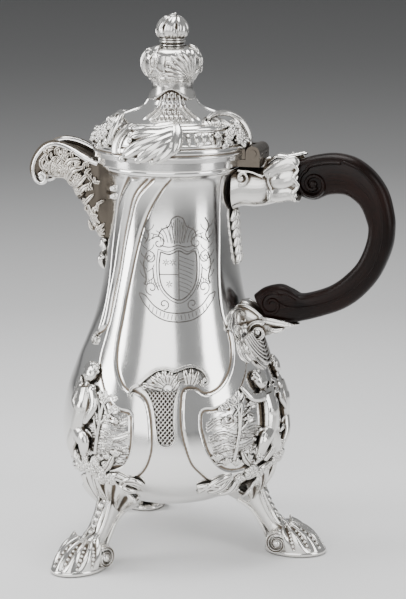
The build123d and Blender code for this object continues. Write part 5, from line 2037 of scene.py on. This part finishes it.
class POT_OT_stage(bpy.types.Operator):
    """Sets the floor with its painted pool of light, the lights and the camera"""

    bl_idname = "pot.stage"
    bl_label = "Stage"

    def execute(self, context):
        sizes = context.scene.pot_sizes
        bpy.ops.object.select_all(action="DESELECT")
        bpy.ops.mesh.primitive_circle_add(vertices=128, radius=FLOOR_R, fill_type="NGON", location=(0, 0, 0))
        floor = context.active_object
        floor.name = floor.data.name = "floor"
        material, tree, shader = new_material("floor_painted_light")
        place = tree.nodes.new("ShaderNodeTexCoord")
        away = tree.nodes.new("ShaderNodeVectorMath")
        away.operation = "LENGTH"
        join_nodes(tree, place.outputs["Object"], away.inputs[0])
        far = math_node(tree, "DIVIDE", away.outputs["Value"], FLOOR_R)
        stops = [(distance / FLOOR_R, (shade,) * 3) for distance, shade in FLOOR_LIGHT_POOL]
        join_nodes(tree, ramp_node(tree, far, stops), shader.inputs["Base Color"])
        shader.inputs["Roughness"].default_value = 0.7
        floor.data.materials.append(material)
        middle = (AXIS_X * MM, 0.0, AIM_HEIGHT)
        for name, size, power, place in SOFTBOXES:
            soft_light(name, size, power, place, middle)
        world = bpy.data.worlds.new("studio")
        context.scene.world = world
        world.use_nodes = True
        world.node_tree.nodes["Background"].inputs["Color"].default_value = (0.86, 0.87, 0.88, 1)
        world.node_tree.nodes["Background"].inputs["Strength"].default_value = sizes.surround
        camera = bpy.data.cameras.new("camera")
        camera.lens = CAMERA_LENS
        camera.sensor_fit = "AUTO"
        camera.sensor_width = 36
        camera.shift_x, camera.shift_y = CAMERA_SHIFT
        camera.clip_start = 0.05
        eye = bpy.data.objects.new("camera", camera)
        bpy.context.collection.objects.link(eye)
        turn = math.radians(CAMERA_TURN)
        across, back = CAMERA_REACH * math.sin(turn), CAMERA_REACH * math.cos(turn)
        eye.location = (AXIS_X * MM + across, -back, CAMERA_HEIGHT - TABLE_Z * MM)
        eye.rotation_euler = (math.radians(90 - CAMERA_PITCH), 0, turn)
        context.scene.camera = eye
        return {"FINISHED"}


# ---- add-on ------------------------------------------------------------------------------------------
def colour_property(name, description, default):
    """A colour that a maker of the pot may change."""
    return bpy.props.FloatVectorProperty(
        name=name, description=description, default=default, min=0.0, max=1.0, subtype="COLOR"
    )


class PotSizes(bpy.types.PropertyGroup):
    """The sizes and colours that a maker of the pot would change"""

    relief: bpy.props.FloatProperty(
        name="Relief",
        description="How far the chased bands stand over the body",
        default=0.0011,
        min=0.0002,
        max=0.002,
        unit="LENGTH",
        precision=4,
    )
    silver_colour: colour_property("Silver", "Colour of the polished silver", (0.955, 0.945, 0.925))
    cast_colour: colour_property("Cast silver", "Colour of the cast ornament's silver", (0.80, 0.785, 0.755))
    wood_colour: colour_property("Wood", "Colour of the stained wood", (0.0018, 0.0011, 0.0009))
    wood_warmth: colour_property("Wood grain", "Colour of the wood's lighter grain", (0.022, 0.0065, 0.0035))
    surround: bpy.props.FloatProperty(
        name="Surround light", description="Strength of the light from all round", default=0.38, min=0.0, max=3.0
    )


class POT_PT_panel(bpy.types.Panel):
    """Lists the pot's sizes and the operators that make its pieces"""

    bl_idname = "POT_PT_panel"
    bl_label = "Coffee pot"
    bl_space_type = "VIEW_3D"
    bl_region_type = "UI"
    bl_category = "Coffee pot"

    def draw(self, context):
        for name in PotSizes.__annotations__:
            self.layout.prop(context.scene.pot_sizes, name)
        for operator in OPERATORS:
            self.layout.operator(operator.bl_idname)


OPERATORS = [
    POT_OT_stage, POT_OT_body, POT_OT_lid, POT_OT_finial, POT_OT_spout, POT_OT_handle, POT_OT_feet, POT_OT_cherubs,
    POT_OT_chasing,
]
CLASSES = [PotSizes, *OPERATORS, POT_PT_panel]


def register():
    """Registers the classes and puts the sizes on the scene."""
    for item in CLASSES:
        bpy.utils.register_class(item)
    bpy.types.Scene.pot_sizes = bpy.props.PointerProperty(type=PotSizes)


def unregister():
    """Takes the sizes and the classes away again."""
    del bpy.types.Scene.pot_sizes
    for item in reversed(CLASSES):
        bpy.utils.unregister_class(item)


def main():
    """Builds the pot on its stage."""
    register()
    FINISH.update(finishes(bpy.context.scene.pot_sizes))
    for name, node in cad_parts.items():
        # The hinge's parts take the deep finish, painted shade with patina.
        finish = "polished" if name.startswith("mouth") else "deep" if "hinge" in name else "plain"
        node.data.materials.clear()
        node.data.materials.append(FINISH[finish])
    bpy.ops.object.select_all(action="DESELECT")
    bpy.ops.pot.stage()
    bpy.ops.pot.body()
    bpy.ops.pot.lid()
    bpy.ops.pot.finial()
    bpy.ops.pot.spout()
    bpy.ops.pot.handle()
    bpy.ops.pot.feet()
    bpy.ops.pot.cherubs()
    bpy.ops.pot.chasing()


if __name__ == "__main__":
    main()
